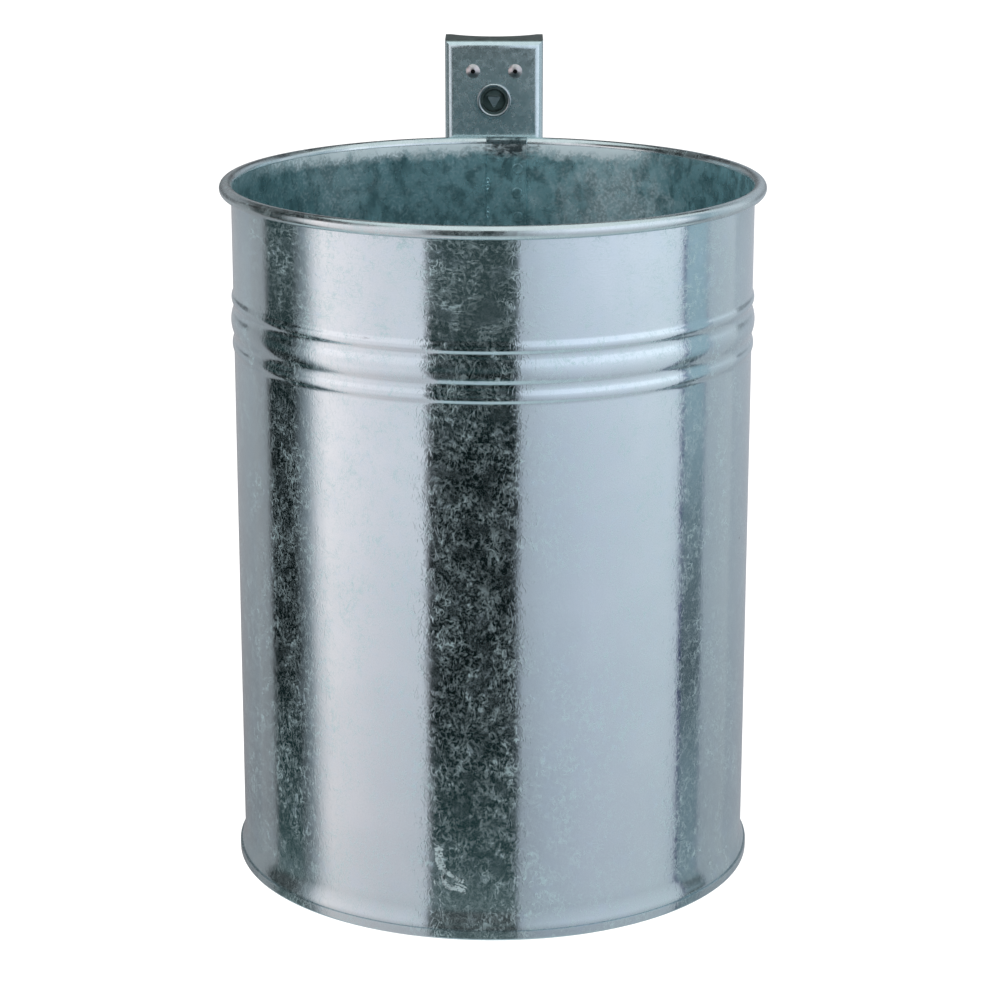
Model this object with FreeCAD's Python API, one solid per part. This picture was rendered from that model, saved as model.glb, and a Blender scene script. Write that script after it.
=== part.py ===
"""Hanging litter bin of galvanised sheet: a round can that hooks onto a wall or post rail and locks there.

Millimetres, +Z up.  The origin is the middle of the two wall screw holes, on the front face of the rail's
crown.  The can hangs in front of the rail, towards -Y, and the wall or post is behind it, towards +Y.
"""
import FreeCAD, Part
import math
import os

Vector = FreeCAD.Vector

# Can
BODY_DIAMETER = 325.0          # outside of the plain wall
BODY_HEIGHT = 440.0            # top of the rolled rim to the foot
SHEET = 1.0                    # sheet of the wall and of the bottom
RIM_WIRE_DIAMETER = 6.0        # wire that the rim is rolled round
RIM_WIRE_CLEARANCE = 0.15      # all round the wire
CURL_SWEEP = 310.0             # degrees of the roll, from the inside of the wall over the top
RIM_ABOVE_SCREWS = 70.0        # rim top above the middle of the wall screws

# Group of three swaged beads round the wall, listed downwards
BEAD_TOP_DROP = 67.2           # rim top to the upper end of the group
UPPER_BEAD_SPAN = 10.0
MIDDLE_BEAD_SPAN = 18.0
LOWER_BEAD_SPAN = 11.0
UPPER_BEAD_HEIGHT = 1.1
MIDDLE_BEAD_HEIGHT = 1.6
LOWER_BEAD_HEIGHT = 1.05
BEAD_FILLET_RUN = 2.8          # height of the hollow curve that leads into a bead
BEAD_LAND = 0.4                # plain wall between two beads

# Lap where the rolled sheet closes on itself, at the back of the can
LAP_WIDTH = 27.0
LAP_EDGE_X = -5.0              # inner sheet's free edge
LAP_FLOOR_GAP = 1.0            # lap's lower end above the bottom

# Foot and bottom
FLARE_HEIGHT = 19.0            # foot to the start of the flare
FLARE_OUT = 2.3                # wall's outside at the foot, beyond the plain wall
FLARE_LIP_RUN = 3.0            # height of the curve that turns the flare upright again
HEM_HEIGHT = 6.0               # bottom's edge, folded up round the foot
SEAM_CLEARANCE = 0.1           # between the folded sheets
FLOOR_RISE = 24.0              # foot to the top of the bottom
FLOOR_BEND = 3.0               # outer bend radius at the edge of the bottom
DRAIN_HOLE = 8.0
DRAIN_HOLES = 5
DRAIN_CIRCLE_DIAMETER = 220.0

# Rail on the wall or post
RAIL_WIDTH = 60.8
RAIL_DEPTH = 20.0              # front face of the crown to the wall
RAIL_SHEET = 3.0
RAIL_BEND = 4.0                # outer bend radius
WALL_HOLE = 9.0                # for an M8 screw
WALL_HOLE_SPACING = 100.0
RAIL_TAIL = 26.0               # lower screw hole's middle to the rail's lower end
BAND_SLOT_WIDTH = 5.0          # slots in the legs for bands round a post
BAND_SLOT_LENGTH = 22.0
BAND_SLOT_INSET = 30.0         # slot's middle to the rail's end
BAND_SLOT_EDGE = 4.5           # slot's middle to the wall

# Hanger channel on the can
HANGER_SHEET = 2.0
HANGER_BEND = 6.0              # outer bend radius
HANGER_SIDE_CLEARANCE = 0.6    # each side of the rail
HANGER_WALL_GAP = 1.0          # rear edges to the wall
HANGER_RIM_GAP = 0.4           # front plate to the rolled rim
CORNER_SLIT = 0.6              # open corner between the top flange and the sides
TAIL_MARGIN = 5.0              # lower saddle to the channel's lower end
POST_RELIEF_RADIUS = 40.0      # hollow rear edge of the top flange, round a post
POST_RELIEF_DEPTH = 12.7

# Hook behind the front plate, which hangs on the rail's top edge
HOOK_WIDTH = 44.0
HOOK_SHEET = 3.0
HOOK_BEND = 3.0                # outer bend radius
HOOK_LIP = 14.0                # reach of the lip below the rail's top edge
HOOK_LIP_CLEARANCE = 0.5       # lip to the back of the crown
HOOK_HEADROOM = 5.0            # hook to the underside of the top flange
HOOK_NUT_GAP = 1.0             # hook's leg to the lock nut
HOOK_RIVET_PITCH = 28.4
HOOK_RIVETS_ABOVE_LOCK = 19.5
HANGER_TOP_ABOVE_RIVETS = 20.5

# Blind rivets
RIVET_SHANK = 4.8
RIVET_HOLE_CLEARANCE = 0.05    # radial
RIVET_HEAD = 9.5
RIVET_HEAD_HEIGHT = 1.6
RIVET_BULB = 7.0
RIVET_BULB_LENGTH = 4.5
RIVET_MANDREL = 3.0
RIVET_MANDREL_DEPTH = 3.0

# Saddles between the can's wall and the channel
SADDLE_HEIGHT = 40.0
SADDLE_SHEET = 2.0
SADDLE_WEB = 36.0              # width over the legs
SADDLE_FLANGE = 14.0           # width of each flange on the can's wall
SADDLE_WELD_GAP = 0.1
SADDLE_BEAD_GAP = 5.5          # upper saddle below the beads
SADDLE_SPACING = 65.0
STUD_DIAMETER = 6.0
STUD_SPACING = 24.0
STUD_HOLE_CLEARANCE = 0.3      # radial
STUD_TAIL = 1.5                # stud's end beyond its nut
WASHER_DIAMETER = 12.0
WASHER_THICKNESS = 1.2
STUD_NUT_FLATS = 10.0
STUD_NUT_THICKNESS = 5.0
THREAD_CLEARANCE = 0.05        # radial, between plain cylinders that stand for threads

# Lock with a three-cornered key
LOCK_ABOVE_RIM = 24.0
LOCK_FLANGE = 23.0
LOCK_FLANGE_HEIGHT = 2.6
LOCK_RING_WIDTH = 2.3          # raised ring round the flange's shallow dish
LOCK_RING_ROUND = 1.0
LOCK_DISH_DEPTH = 1.4
LOCK_BODY = 18.0
LOCK_HOLE_CLEARANCE = 0.1      # radial, in the front plate
LOCK_RECESS = 15.6
LOCK_GASKET_THICKNESS = 0.8
LOCK_GASKET_WALL = 1.7
LOCK_NUT_FLATS = 24.0
LOCK_NUT_THICKNESS = 4.5
LOCK_THREAD_END = 2.0          # housing beyond its nut
SPINDLE_DIAMETER = 10.0
SPINDLE_CLEARANCE = 0.05       # radial running fit in the housing
SPINDLE_COLLAR = 13.0
SPINDLE_COLLAR_HEIGHT = 1.5
SPINDLE_FLOOR = 4.0            # length of the housing's running bore
KEY_TRIANGLE = 8.0             # height of the three-cornered nose
KEY_TRIANGLE_ROUND = 0.8
KEY_NOSE_LENGTH = 5.0
TONGUE_SQUARE = 7.0
TONGUE_SQUARE_CLEARANCE = 0.05
TONGUE_WIDTH = 16.0
TONGUE_REACH = 24.0            # lock axis to the tongue's tip
TONGUE_THICKNESS = 2.5
TONGUE_CLEARANCE = 0.3         # tongue to the end of the housing
TONGUE_SCREW = 5.0
TONGUE_SCREW_LENGTH = 9.0
TONGUE_SCREW_HEAD = 9.0
TONGUE_SCREW_HEAD_HEIGHT = 3.0
TONGUE_SCREW_HEAD_ROUND = 1.2
TONGUE_SCREW_SLOT = 1.2
TONGUE_SCREW_SLOT_DEPTH = 1.2
TONGUE_WASHER = 10.5
TONGUE_WASHER_THICKNESS = 1.0
SCREW_TO_CROWN = 2.7           # tongue screw's head to the rail

# Keeper on the rail, which the tongue turns under
KEEPER_WIDTH = 14.0
KEEPER_SHEET = 2.5
KEEPER_LEG = 18.5              # riveted leg below the shelf
KEEPER_SIDE_GAP = 4.0          # beside the tongue when that points down
KEEPER_CLEARANCE = 0.5         # above the turned tongue
KEEPER_OVERLAP = 0.8           # shelf's reach in front of the tongue
KEEPER_RIVET_SHANK = 4.0
KEEPER_RIVET_HEAD = 6.6
KEEPER_RIVET_HEAD_HEIGHT = 1.3
KEEPER_RIVET_BULB = 5.8
KEEPER_RIVET_BULB_LENGTH = 3.0
KEEPER_RIVET_PITCH = 8.5
KEEPER_RIVET_MANDREL = 2.0
KEEPER_RIVET_MANDREL_DEPTH = 1.8

# Depths, counted forward from the crown's front face
CROWN_BACK_Y = RAIL_SHEET
WALL_Y = RAIL_DEPTH
SCREW_HEAD_Y = -(SCREW_TO_CROWN + TONGUE_SCREW_HEAD_HEIGHT)
TONGUE_BACK_Y = SCREW_HEAD_Y - TONGUE_WASHER_THICKNESS
TONGUE_FRONT_Y = TONGUE_BACK_Y - TONGUE_THICKNESS
HOUSING_END_Y = TONGUE_FRONT_Y - TONGUE_CLEARANCE
PLATE_BACK_Y = HOUSING_END_Y - LOCK_THREAD_END - LOCK_NUT_THICKNESS
PLATE_FRONT_Y = PLATE_BACK_Y - HANGER_SHEET
GASKET_FRONT_Y = PLATE_FRONT_Y - LOCK_GASKET_THICKNESS
FLANGE_FRONT_Y = GASKET_FRONT_Y - LOCK_FLANGE_HEIGHT
HANGER_REAR_Y = WALL_Y - HANGER_WALL_GAP

# Rolled rim and the can's axis
BODY_RADIUS = BODY_DIAMETER / 2
CURL_INNER = RIM_WIRE_DIAMETER / 2 + RIM_WIRE_CLEARANCE
CURL_OUTER = CURL_INNER + SHEET
CURL_CENTRE_RADIUS = BODY_RADIUS + CURL_INNER
RIM_RADIUS = CURL_CENTRE_RADIUS + CURL_OUTER
CAN_Y = PLATE_FRONT_Y - HANGER_RIM_GAP - RIM_RADIUS

# Heights
RIM_TOP_Z = RIM_ABOVE_SCREWS
CURL_Z = RIM_TOP_Z - CURL_OUTER
FOOT_Z = RIM_TOP_Z - BODY_HEIGHT
FLARE_Z = FOOT_Z + FLARE_HEIGHT
FLOOR_Z = FOOT_Z + FLOOR_RISE
LOCK_Z = RIM_TOP_Z + LOCK_ABOVE_RIM
HOOK_RIVET_Z = LOCK_Z + HOOK_RIVETS_ABOVE_LOCK
HANGER_TOP_Z = HOOK_RIVET_Z + HANGER_TOP_ABOVE_RIVETS
HOOK_TOP_Z = HANGER_TOP_Z - HANGER_SHEET - HOOK_HEADROOM
RAIL_TOP_Z = HOOK_TOP_Z - HOOK_SHEET
RAIL_BOTTOM_Z = -WALL_HOLE_SPACING / 2 - RAIL_TAIL
BEAD_GROUP_SPAN = UPPER_BEAD_SPAN + MIDDLE_BEAD_SPAN + LOWER_BEAD_SPAN + 2 * BEAD_LAND
UPPER_SADDLE_Z = RIM_TOP_Z - BEAD_TOP_DROP - BEAD_GROUP_SPAN - SADDLE_BEAD_GAP - SADDLE_HEIGHT / 2
LOWER_SADDLE_Z = UPPER_SADDLE_Z - SADDLE_SPACING
HANGER_BOTTOM_Z = LOWER_SADDLE_Z - SADDLE_HEIGHT / 2 - TAIL_MARGIN

# Widths
HANGER_WIDTH = RAIL_WIDTH + 2 * (HANGER_SIDE_CLEARANCE + HANGER_SHEET)
KEEPER_X = TONGUE_WIDTH / 2 + KEEPER_SIDE_GAP + KEEPER_WIDTH / 2
KEEPER_SHELF_Z = LOCK_Z + TONGUE_WIDTH / 2 + KEEPER_CLEARANCE
KEEPER_TOP_Z = KEEPER_SHELF_Z + KEEPER_SHEET
KEEPER_FRONT_Y = TONGUE_FRONT_Y - KEEPER_OVERLAP

UP = Vector(0, 0, 1)
FORWARD = Vector(0, -1, 0)
BACKWARD = Vector(0, 1, 0)
FULL_TURN = 360.0
CUT_MARGIN = 1.0               # how far a cut runs past the faces that it opens
STUD_HEIGHTS = [saddle_z + side * STUD_SPACING / 2
                for saddle_z in (UPPER_SADDLE_Z, LOWER_SADDLE_Z) for side in (1, -1)]


def line(start, end):
    return Part.LineSegment(start, end).toShape()


def arc(start, middle, end):
    return Part.Arc(start, middle, end).toShape()


def face_of(edges):
    return Part.Face(Part.Wire(edges))


def box(x_range, y_range, z_range):
    corner = Vector(x_range[0], y_range[0], z_range[0])
    return Part.makeBox(x_range[1] - x_range[0], y_range[1] - y_range[0], z_range[1] - z_range[0], corner)


def round_bar(diameter, y_start, y_end, x=0.0, z=0.0):
    """Cylinder along Y."""
    return Part.makeCylinder(diameter / 2, y_end - y_start, Vector(x, y_start, z), BACKWARD)


def hex_nut(flats, y_start, thickness, bore, x=0.0, z=0.0):
    """Hexagonal nut along Y with a flat side up."""
    corner_radius = flats / math.sqrt(3)
    corners = [Vector(x + corner_radius * math.cos(math.radians(60 * k)), y_start,
                      z + corner_radius * math.sin(math.radians(60 * k))) for k in range(6)]
    prism = Part.Face(Part.makePolygon(corners + corners[:1])).extrude(BACKWARD * thickness)
    return prism.cut(round_bar(bore, y_start, y_start + thickness, x, z))


def on_can(radius, z):
    """Point of the can's section, drawn in the plane that holds its axis."""
    return Vector(radius, CAN_Y, z)


def turned(face, degrees=FULL_TURN):
    return face.revolve(Vector(0, CAN_Y, 0), UP, degrees)


def edges_at(shape, test):
    """Edges whose every vertex meets the test."""
    return [edge for edge in shape.Edges if all(test(vertex.Point) for vertex in edge.Vertexes)]


def near(value, target):
    return abs(value - target) < 1e-6


def lead_in(radius, z, fillet_run, crest_run, height, down=1.0):
    """Hollow arc and half crest that carry an upright wall out by height, tangent all the way."""
    slope = 2 * math.atan2(height, fillet_run + crest_run)
    fillet_radius = fillet_run / math.sin(slope)
    crest_radius = crest_run / math.sin(slope)
    half = slope / 2
    start = on_can(radius, z)
    fillet_middle = on_can(radius + fillet_radius * (1 - math.cos(half)),
                           z - down * fillet_radius * math.sin(half))
    change = on_can(radius + fillet_run * math.tan(half), z - down * fillet_run)
    top = on_can(radius + height, z - down * (fillet_run + crest_run))
    crest_middle = on_can(top.x - crest_radius * (1 - math.cos(half)),
                          top.z + down * crest_radius * math.sin(half))
    return [arc(start, fillet_middle, change), arc(change, crest_middle, top)]


def bead(radius, z, span, height):
    """Swaged bead whose upper end is at z."""
    fillet_run = min(BEAD_FILLET_RUN, span / 4)
    crest_run = span / 2 - fillet_run
    upper = lead_in(radius, z, fillet_run, crest_run, height)
    lower = lead_in(radius, z - span, fillet_run, crest_run, height, down=-1.0)
    return upper + lower[::-1]


def wall_curve(shift, z_top, z_bottom):
    """Upright wall with its beads, from z_top down to z_bottom, moved out by shift."""
    radius = BODY_RADIUS + shift
    edges = []
    z = z_top
    bead_z = RIM_TOP_Z - BEAD_TOP_DROP
    beads = ((UPPER_BEAD_SPAN, UPPER_BEAD_HEIGHT), (MIDDLE_BEAD_SPAN, MIDDLE_BEAD_HEIGHT),
             (LOWER_BEAD_SPAN, LOWER_BEAD_HEIGHT))
    for span, height in beads:
        edges.append(line(on_can(radius, z), on_can(radius, bead_z)))
        edges += bead(radius, bead_z, span, height)
        z = bead_z - span
        bead_z = z - BEAD_LAND
    edges.append(line(on_can(radius, z), on_can(radius, z_bottom)))
    return edges


def flare_curve(shift, z_end):
    """Foot's flare from the plain wall down to z_end, moved out by shift."""
    radius = BODY_RADIUS + shift
    run = FLARE_HEIGHT - HEM_HEIGHT
    edges = lead_in(radius, FLARE_Z, run - FLARE_LIP_RUN, FLARE_LIP_RUN, FLARE_OUT)
    edges.append(line(on_can(radius + FLARE_OUT, FLARE_Z - run), on_can(radius + FLARE_OUT, z_end)))
    return edges


def on_curl(radius, degrees):
    angle = math.radians(degrees)
    return on_can(CURL_CENTRE_RADIUS + radius * math.cos(angle), CURL_Z + radius * math.sin(angle))


def curl_arcs(radius, start, end):
    """Arc round the rim wire in two halves."""
    middle = (start + end) / 2
    return [arc(on_curl(radius, start), on_curl(radius, (start + middle) / 2), on_curl(radius, middle)),
            arc(on_curl(radius, middle), on_curl(radius, (middle + end) / 2), on_curl(radius, end))]


def hem_centre():
    """Radius and height of the middle of the fold under the foot."""
    return BODY_RADIUS + FLARE_OUT - SHEET / 2, FOOT_Z + SHEET + SHEET / 2 + SEAM_CLEARANCE


def body_shell():
    _, edge_z = hem_centre()
    curl_end = 180 - CURL_SWEEP
    outer = wall_curve(0, CURL_Z, FLARE_Z) + flare_curve(0, edge_z)
    inner = wall_curve(-SHEET, CURL_Z, FLARE_Z) + flare_curve(-SHEET, edge_z)
    foot = BODY_RADIUS + FLARE_OUT
    edges = outer + [line(on_can(foot, edge_z), on_can(foot - SHEET, edge_z))] + inner[::-1]
    edges += curl_arcs(CURL_OUTER, 180, curl_end)
    edges.append(line(on_curl(CURL_OUTER, curl_end), on_curl(CURL_INNER, curl_end)))
    edges += curl_arcs(CURL_INNER, curl_end, 180)
    shell = turned(face_of(Part.__sortEdges__(edges)))
    return shell.fuse(lap()).removeSplitter()


def lap():
    """Second layer of sheet inside the wall, rooted in the wall's middle."""
    top = CURL_Z
    bottom = FLOOR_Z + LAP_FLOOR_GAP
    root = -SHEET / 2
    inside = -2 * SHEET
    edges = wall_curve(root, top, bottom) + wall_curve(inside, top, bottom)
    for z in (top, bottom):
        edges.append(line(on_can(BODY_RADIUS + root, z), on_can(BODY_RADIUS + inside, z)))
    face = face_of(Part.__sortEdges__(edges))
    inner_radius = BODY_RADIUS - 2 * SHEET
    edge_angle = math.degrees(math.asin(LAP_EDGE_X / inner_radius))
    far_angle = math.degrees(math.asin((LAP_EDGE_X + LAP_WIDTH) / inner_radius))
    face.rotate(Vector(0, CAN_Y, 0), UP, 90 - far_angle)
    return turned(face, far_angle - edge_angle)


def rim_wire():
    return Part.makeTorus(CURL_CENTRE_RADIUS, RIM_WIRE_DIAMETER / 2, Vector(0, CAN_Y, CURL_Z))


def bottom_plate():
    """Raised bottom whose edge runs down inside the foot and is folded up round it."""
    fold_radius, fold_z = hem_centre()
    inner_fold = SHEET / 2 + SEAM_CLEARANCE
    outer_fold = inner_fold + SHEET
    hem_z = FOOT_Z + HEM_HEIGHT
    seam_side = -(SHEET + SEAM_CLEARANCE)
    can_side = seam_side - SHEET
    floor_edges = []
    for shift, z, bend in ((seam_side, FLOOR_Z, FLOOR_BEND), (can_side, FLOOR_Z - SHEET, FLOOR_BEND - SHEET)):
        radius = BODY_RADIUS + shift
        bend_start = on_can(radius, z - bend)
        bend_end = on_can(radius - bend, z)
        offset = bend * (1 - math.cos(math.pi / 4))
        floor_edges += flare_curve(shift, fold_z)
        floor_edges.append(line(on_can(radius, FLARE_Z), bend_start))
        floor_edges.append(arc(bend_start, on_can(radius - offset, z - offset), bend_end))
        floor_edges.append(line(bend_end, on_can(0, z)))
    floor_edges.append(line(on_can(0, FLOOR_Z), on_can(0, FLOOR_Z - SHEET)))
    for fold in (inner_fold, outer_fold):
        floor_edges.append(arc(on_can(fold_radius - fold, fold_z), on_can(fold_radius, fold_z - fold),
                               on_can(fold_radius + fold, fold_z)))
        floor_edges.append(line(on_can(fold_radius + fold, fold_z), on_can(fold_radius + fold, hem_z)))
    floor_edges.append(line(on_can(fold_radius + inner_fold, hem_z), on_can(fold_radius + outer_fold, hem_z)))
    plate = turned(face_of(Part.__sortEdges__(floor_edges)))
    for k in range(DRAIN_HOLES):
        angle = math.radians(FULL_TURN * k / DRAIN_HOLES)
        spot = on_can(DRAIN_CIRCLE_DIAMETER / 2 * math.cos(angle), FLOOR_Z - SHEET)
        spot.y += DRAIN_CIRCLE_DIAMETER / 2 * math.sin(angle)
        plate = plate.cut(Part.makeCylinder(DRAIN_HOLE / 2, SHEET, spot, UP))
    return plate


def channel_section(half, y_front, y_rear, sheet, bend, z):
    """Face of a U-shaped sheet section with its crown at y_front and rounded bends."""
    outer = bent_line(half, y_front, y_rear, bend, z)
    inner = bent_line(half - sheet, y_front + sheet, y_rear, bend - sheet, z)
    ends = [line(Vector(side * half, y_rear, z), Vector(side * (half - sheet), y_rear, z))
            for side in (1, -1)]
    return face_of(Part.__sortEdges__(outer + inner + ends))


def bent_line(half, y_front, y_rear, bend, z):
    """Two legs and a crown joined by quarter rounds."""
    offset = bend * (1 - math.cos(math.pi / 4))
    edges = [line(Vector(bend - half, y_front, z), Vector(half - bend, y_front, z))]
    for side in (1, -1):
        leg_start = Vector(side * half, y_front + bend, z)
        crown_end = Vector(side * (half - bend), y_front, z)
        edges.append(arc(leg_start, Vector(side * (half - offset), y_front + offset, z), crown_end))
        edges.append(line(leg_start, Vector(side * half, y_rear, z)))
    return edges


def wall_rail():
    section = channel_section(RAIL_WIDTH / 2, 0, WALL_Y, RAIL_SHEET, RAIL_BEND, RAIL_BOTTOM_Z)
    rail = section.extrude(UP * (RAIL_TOP_Z - RAIL_BOTTOM_Z))
    through = (-CUT_MARGIN, RAIL_SHEET + CUT_MARGIN)
    for side in (1, -1):
        rail = rail.cut(round_bar(WALL_HOLE, *through, 0, side * WALL_HOLE_SPACING / 2))
    for z in (RAIL_BOTTOM_Z + BAND_SLOT_INSET, RAIL_TOP_Z - BAND_SLOT_INSET):
        rail = rail.cut(band_slot(z))
    for z in keeper_rivet_heights():
        rail = rail.cut(round_bar(KEEPER_RIVET_SHANK + 2 * RIVET_HOLE_CLEARANCE, *through, KEEPER_X, z))
    return rail


def band_slot(z):
    """Upright slot through both legs, for a band that goes round a post."""
    y = WALL_Y - BAND_SLOT_EDGE
    half_width = BAND_SLOT_WIDTH / 2
    straight = BAND_SLOT_LENGTH / 2 - half_width
    x = -RAIL_WIDTH / 2 - CUT_MARGIN
    front, back = y - half_width, y + half_width
    top, bottom = z + straight, z - straight
    outline = face_of([
        line(Vector(x, front, bottom), Vector(x, front, top)),
        arc(Vector(x, front, top), Vector(x, y, top + half_width), Vector(x, back, top)),
        line(Vector(x, back, top), Vector(x, back, bottom)),
        arc(Vector(x, back, bottom), Vector(x, y, bottom - half_width), Vector(x, front, bottom)),
    ])
    return outline.extrude(Vector(RAIL_WIDTH + 2 * CUT_MARGIN, 0, 0))


def bent_cover(half, y_front, y_rear, z_bottom, z_top, bend):
    """Box whose front upright edges and front top edge are rounded."""
    block = box((-half, half), (y_front, y_rear), (z_bottom, z_top))
    front = edges_at(block, lambda p: near(p.y, y_front))
    bends = [edge for edge in front if not all(near(v.Z, z_bottom) for v in edge.Vertexes)]
    return block.makeFillet(bend, bends)


def hanger_channel():
    half = HANGER_WIDTH / 2
    inner_half = half - HANGER_SHEET
    under_flange = HANGER_TOP_Z - HANGER_SHEET
    channel = bent_cover(half, PLATE_FRONT_Y, HANGER_REAR_Y, HANGER_BOTTOM_Z, HANGER_TOP_Z, HANGER_BEND)
    channel = channel.cut(bent_cover(inner_half, PLATE_BACK_Y, HANGER_REAR_Y, HANGER_BOTTOM_Z, under_flange,
                                     HANGER_BEND - HANGER_SHEET))
    post_y = HANGER_REAR_Y - POST_RELIEF_DEPTH + POST_RELIEF_RADIUS
    post_foot = Vector(0, post_y, under_flange)
    channel = channel.cut(Part.makeCylinder(POST_RELIEF_RADIUS, HANGER_SHEET, post_foot, UP))
    slit_y = (PLATE_FRONT_Y + HANGER_BEND, HANGER_REAR_Y)
    for side in (1, -1):
        slit_x = sorted((side * inner_half, side * half))
        channel = channel.cut(box(slit_x, slit_y, (under_flange - CORNER_SLIT, under_flange)))
    lock_hole = LOCK_BODY + 2 * LOCK_HOLE_CLEARANCE
    channel = channel.cut(round_bar(lock_hole, PLATE_FRONT_Y, PLATE_BACK_Y, 0, LOCK_Z))
    for x in hook_rivet_places():
        channel = channel.cut(hook_rivet_hole(x, PLATE_FRONT_Y, PLATE_BACK_Y))
    stud_hole = STUD_DIAMETER + 2 * STUD_HOLE_CLEARANCE
    for z in STUD_HEIGHTS:
        channel = channel.cut(round_bar(stud_hole, PLATE_FRONT_Y, PLATE_BACK_Y, 0, z))
    return channel


def hook_rivet_places():
    return (-HOOK_RIVET_PITCH / 2, HOOK_RIVET_PITCH / 2)


def hook_rivet_hole(x, y_start, y_end):
    return round_bar(RIVET_SHANK + 2 * RIVET_HOLE_CLEARANCE, y_start, y_end, x, HOOK_RIVET_Z)


def hook_plate():
    """Leg on the front plate, shelf over the rail's top edge and lip behind the crown."""
    half = HOOK_WIDTH / 2
    leg_bottom = LOCK_Z + LOCK_NUT_FLATS / 2 + HOOK_NUT_GAP
    lip_front = CROWN_BACK_Y + HOOK_LIP_CLEARANCE
    lip_back = lip_front + HOOK_SHEET
    width = (-half, half)
    block = box(width, (PLATE_BACK_Y, lip_back), (leg_bottom, HOOK_TOP_Z))
    bends = edges_at(block, lambda p: near(p.z, HOOK_TOP_Z))
    bends = [edge for edge in bends if near(edge.Vertexes[0].Y, edge.Vertexes[1].Y)]
    hook = block.makeFillet(HOOK_BEND, bends)
    hook = hook.cut(box(width, (PLATE_BACK_Y + HOOK_SHEET, lip_front), (leg_bottom, RAIL_TOP_Z)))
    lip_bottom = RAIL_TOP_Z - HOOK_LIP
    if lip_bottom > leg_bottom:
        hook = hook.cut(box(width, (lip_front, lip_back), (leg_bottom, lip_bottom)))
    for x in hook_rivet_places():
        hook = hook.cut(hook_rivet_hole(x, PLATE_BACK_Y, PLATE_BACK_Y + HOOK_SHEET))
    return hook


def blind_rivet(x, z, y_front, grip, shank, head, head_height, bulb, bulb_length, mandrel, mandrel_depth):
    """Domed head in front of y_front, shank through the grip and upset bulb behind it."""
    dome_radius = (head * head / 4 + head_height * head_height) / (2 * head_height)
    dome = Part.makeSphere(dome_radius, Vector(x, y_front - head_height + dome_radius, z))
    head_solid = round_bar(head, y_front - head_height, y_front, x, z).common(dome)
    bulb_start = y_front + grip
    waist = (bulb + shank) / 4
    tail = Part.makeCone(bulb / 2, waist, bulb_length, Vector(x, bulb_start, z), BACKWARD)
    rivet = head_solid.fuse([round_bar(shank, y_front, bulb_start, x, z), tail]).removeSplitter()
    return rivet.cut(round_bar(mandrel, y_front - head_height, y_front - head_height + mandrel_depth, x, z))


def hook_rivets():
    grip = HANGER_SHEET + HOOK_SHEET
    return [blind_rivet(x, HOOK_RIVET_Z, PLATE_FRONT_Y, grip, RIVET_SHANK, RIVET_HEAD, RIVET_HEAD_HEIGHT,
                        RIVET_BULB, RIVET_BULB_LENGTH, RIVET_MANDREL, RIVET_MANDREL_DEPTH)
            for x in hook_rivet_places()]


def saddle(z):
    """Hat-shaped sheet: curved flanges on the can's wall, flat web on the channel."""
    heights = (z - SADDLE_HEIGHT / 2, z + SADDLE_HEIGHT / 2)
    half = SADDLE_WEB / 2
    reach = half + SADDLE_FLANGE
    base = Vector(0, CAN_Y, heights[0])
    seat_radius = BODY_RADIUS + SADDLE_WELD_GAP
    seat = Part.makeCylinder(seat_radius, SADDLE_HEIGHT, base, UP)
    cover = Part.makeCylinder(seat_radius + SADDLE_SHEET, SADDLE_HEIGHT, base, UP)
    flanges = cover.common(box((-reach, reach), (CAN_Y, PLATE_FRONT_Y), heights))
    hat = flanges.fuse(box((-half, half), (CAN_Y, PLATE_FRONT_Y), heights))
    inner_half = half - SADDLE_SHEET
    hat = hat.cut([seat, box((-inner_half, inner_half), (CAN_Y, PLATE_FRONT_Y - SADDLE_SHEET), heights)])
    return hat.removeSplitter()


def weld_studs():
    end = PLATE_BACK_Y + WASHER_THICKNESS + STUD_NUT_THICKNESS + STUD_TAIL
    return [round_bar(STUD_DIAMETER, PLATE_FRONT_Y, end, 0, z) for z in STUD_HEIGHTS]


def stud_washers():
    bore = STUD_DIAMETER + 2 * STUD_HOLE_CLEARANCE
    end = PLATE_BACK_Y + WASHER_THICKNESS
    return [round_bar(WASHER_DIAMETER, PLATE_BACK_Y, end, 0, z).cut(round_bar(bore, PLATE_BACK_Y, end, 0, z))
            for z in STUD_HEIGHTS]


def stud_nuts():
    bore = STUD_DIAMETER + 2 * THREAD_CLEARANCE
    return [hex_nut(STUD_NUT_FLATS, PLATE_BACK_Y + WASHER_THICKNESS, STUD_NUT_THICKNESS, bore, 0, z)
            for z in STUD_HEIGHTS]


def lock_housing():
    flange = round_bar(LOCK_FLANGE, FLANGE_FRONT_Y, GASKET_FRONT_Y, 0, LOCK_Z)
    dish = LOCK_FLANGE - 2 * LOCK_RING_WIDTH
    flange = flange.cut(round_bar(dish, FLANGE_FRONT_Y, FLANGE_FRONT_Y + LOCK_DISH_DEPTH, 0, LOCK_Z))
    flange = flange.makeFillet(LOCK_RING_ROUND, edges_at(flange, lambda p: near(p.y, FLANGE_FRONT_Y)))
    housing = flange.fuse(round_bar(LOCK_BODY, GASKET_FRONT_Y, HOUSING_END_Y, 0, LOCK_Z))
    recess_floor = HOUSING_END_Y - SPINDLE_FLOOR
    bore = SPINDLE_DIAMETER + 2 * SPINDLE_CLEARANCE
    housing = housing.cut(round_bar(LOCK_RECESS, FLANGE_FRONT_Y, recess_floor, 0, LOCK_Z))
    return housing.cut(round_bar(bore, recess_floor, HOUSING_END_Y, 0, LOCK_Z)).removeSplitter()


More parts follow.
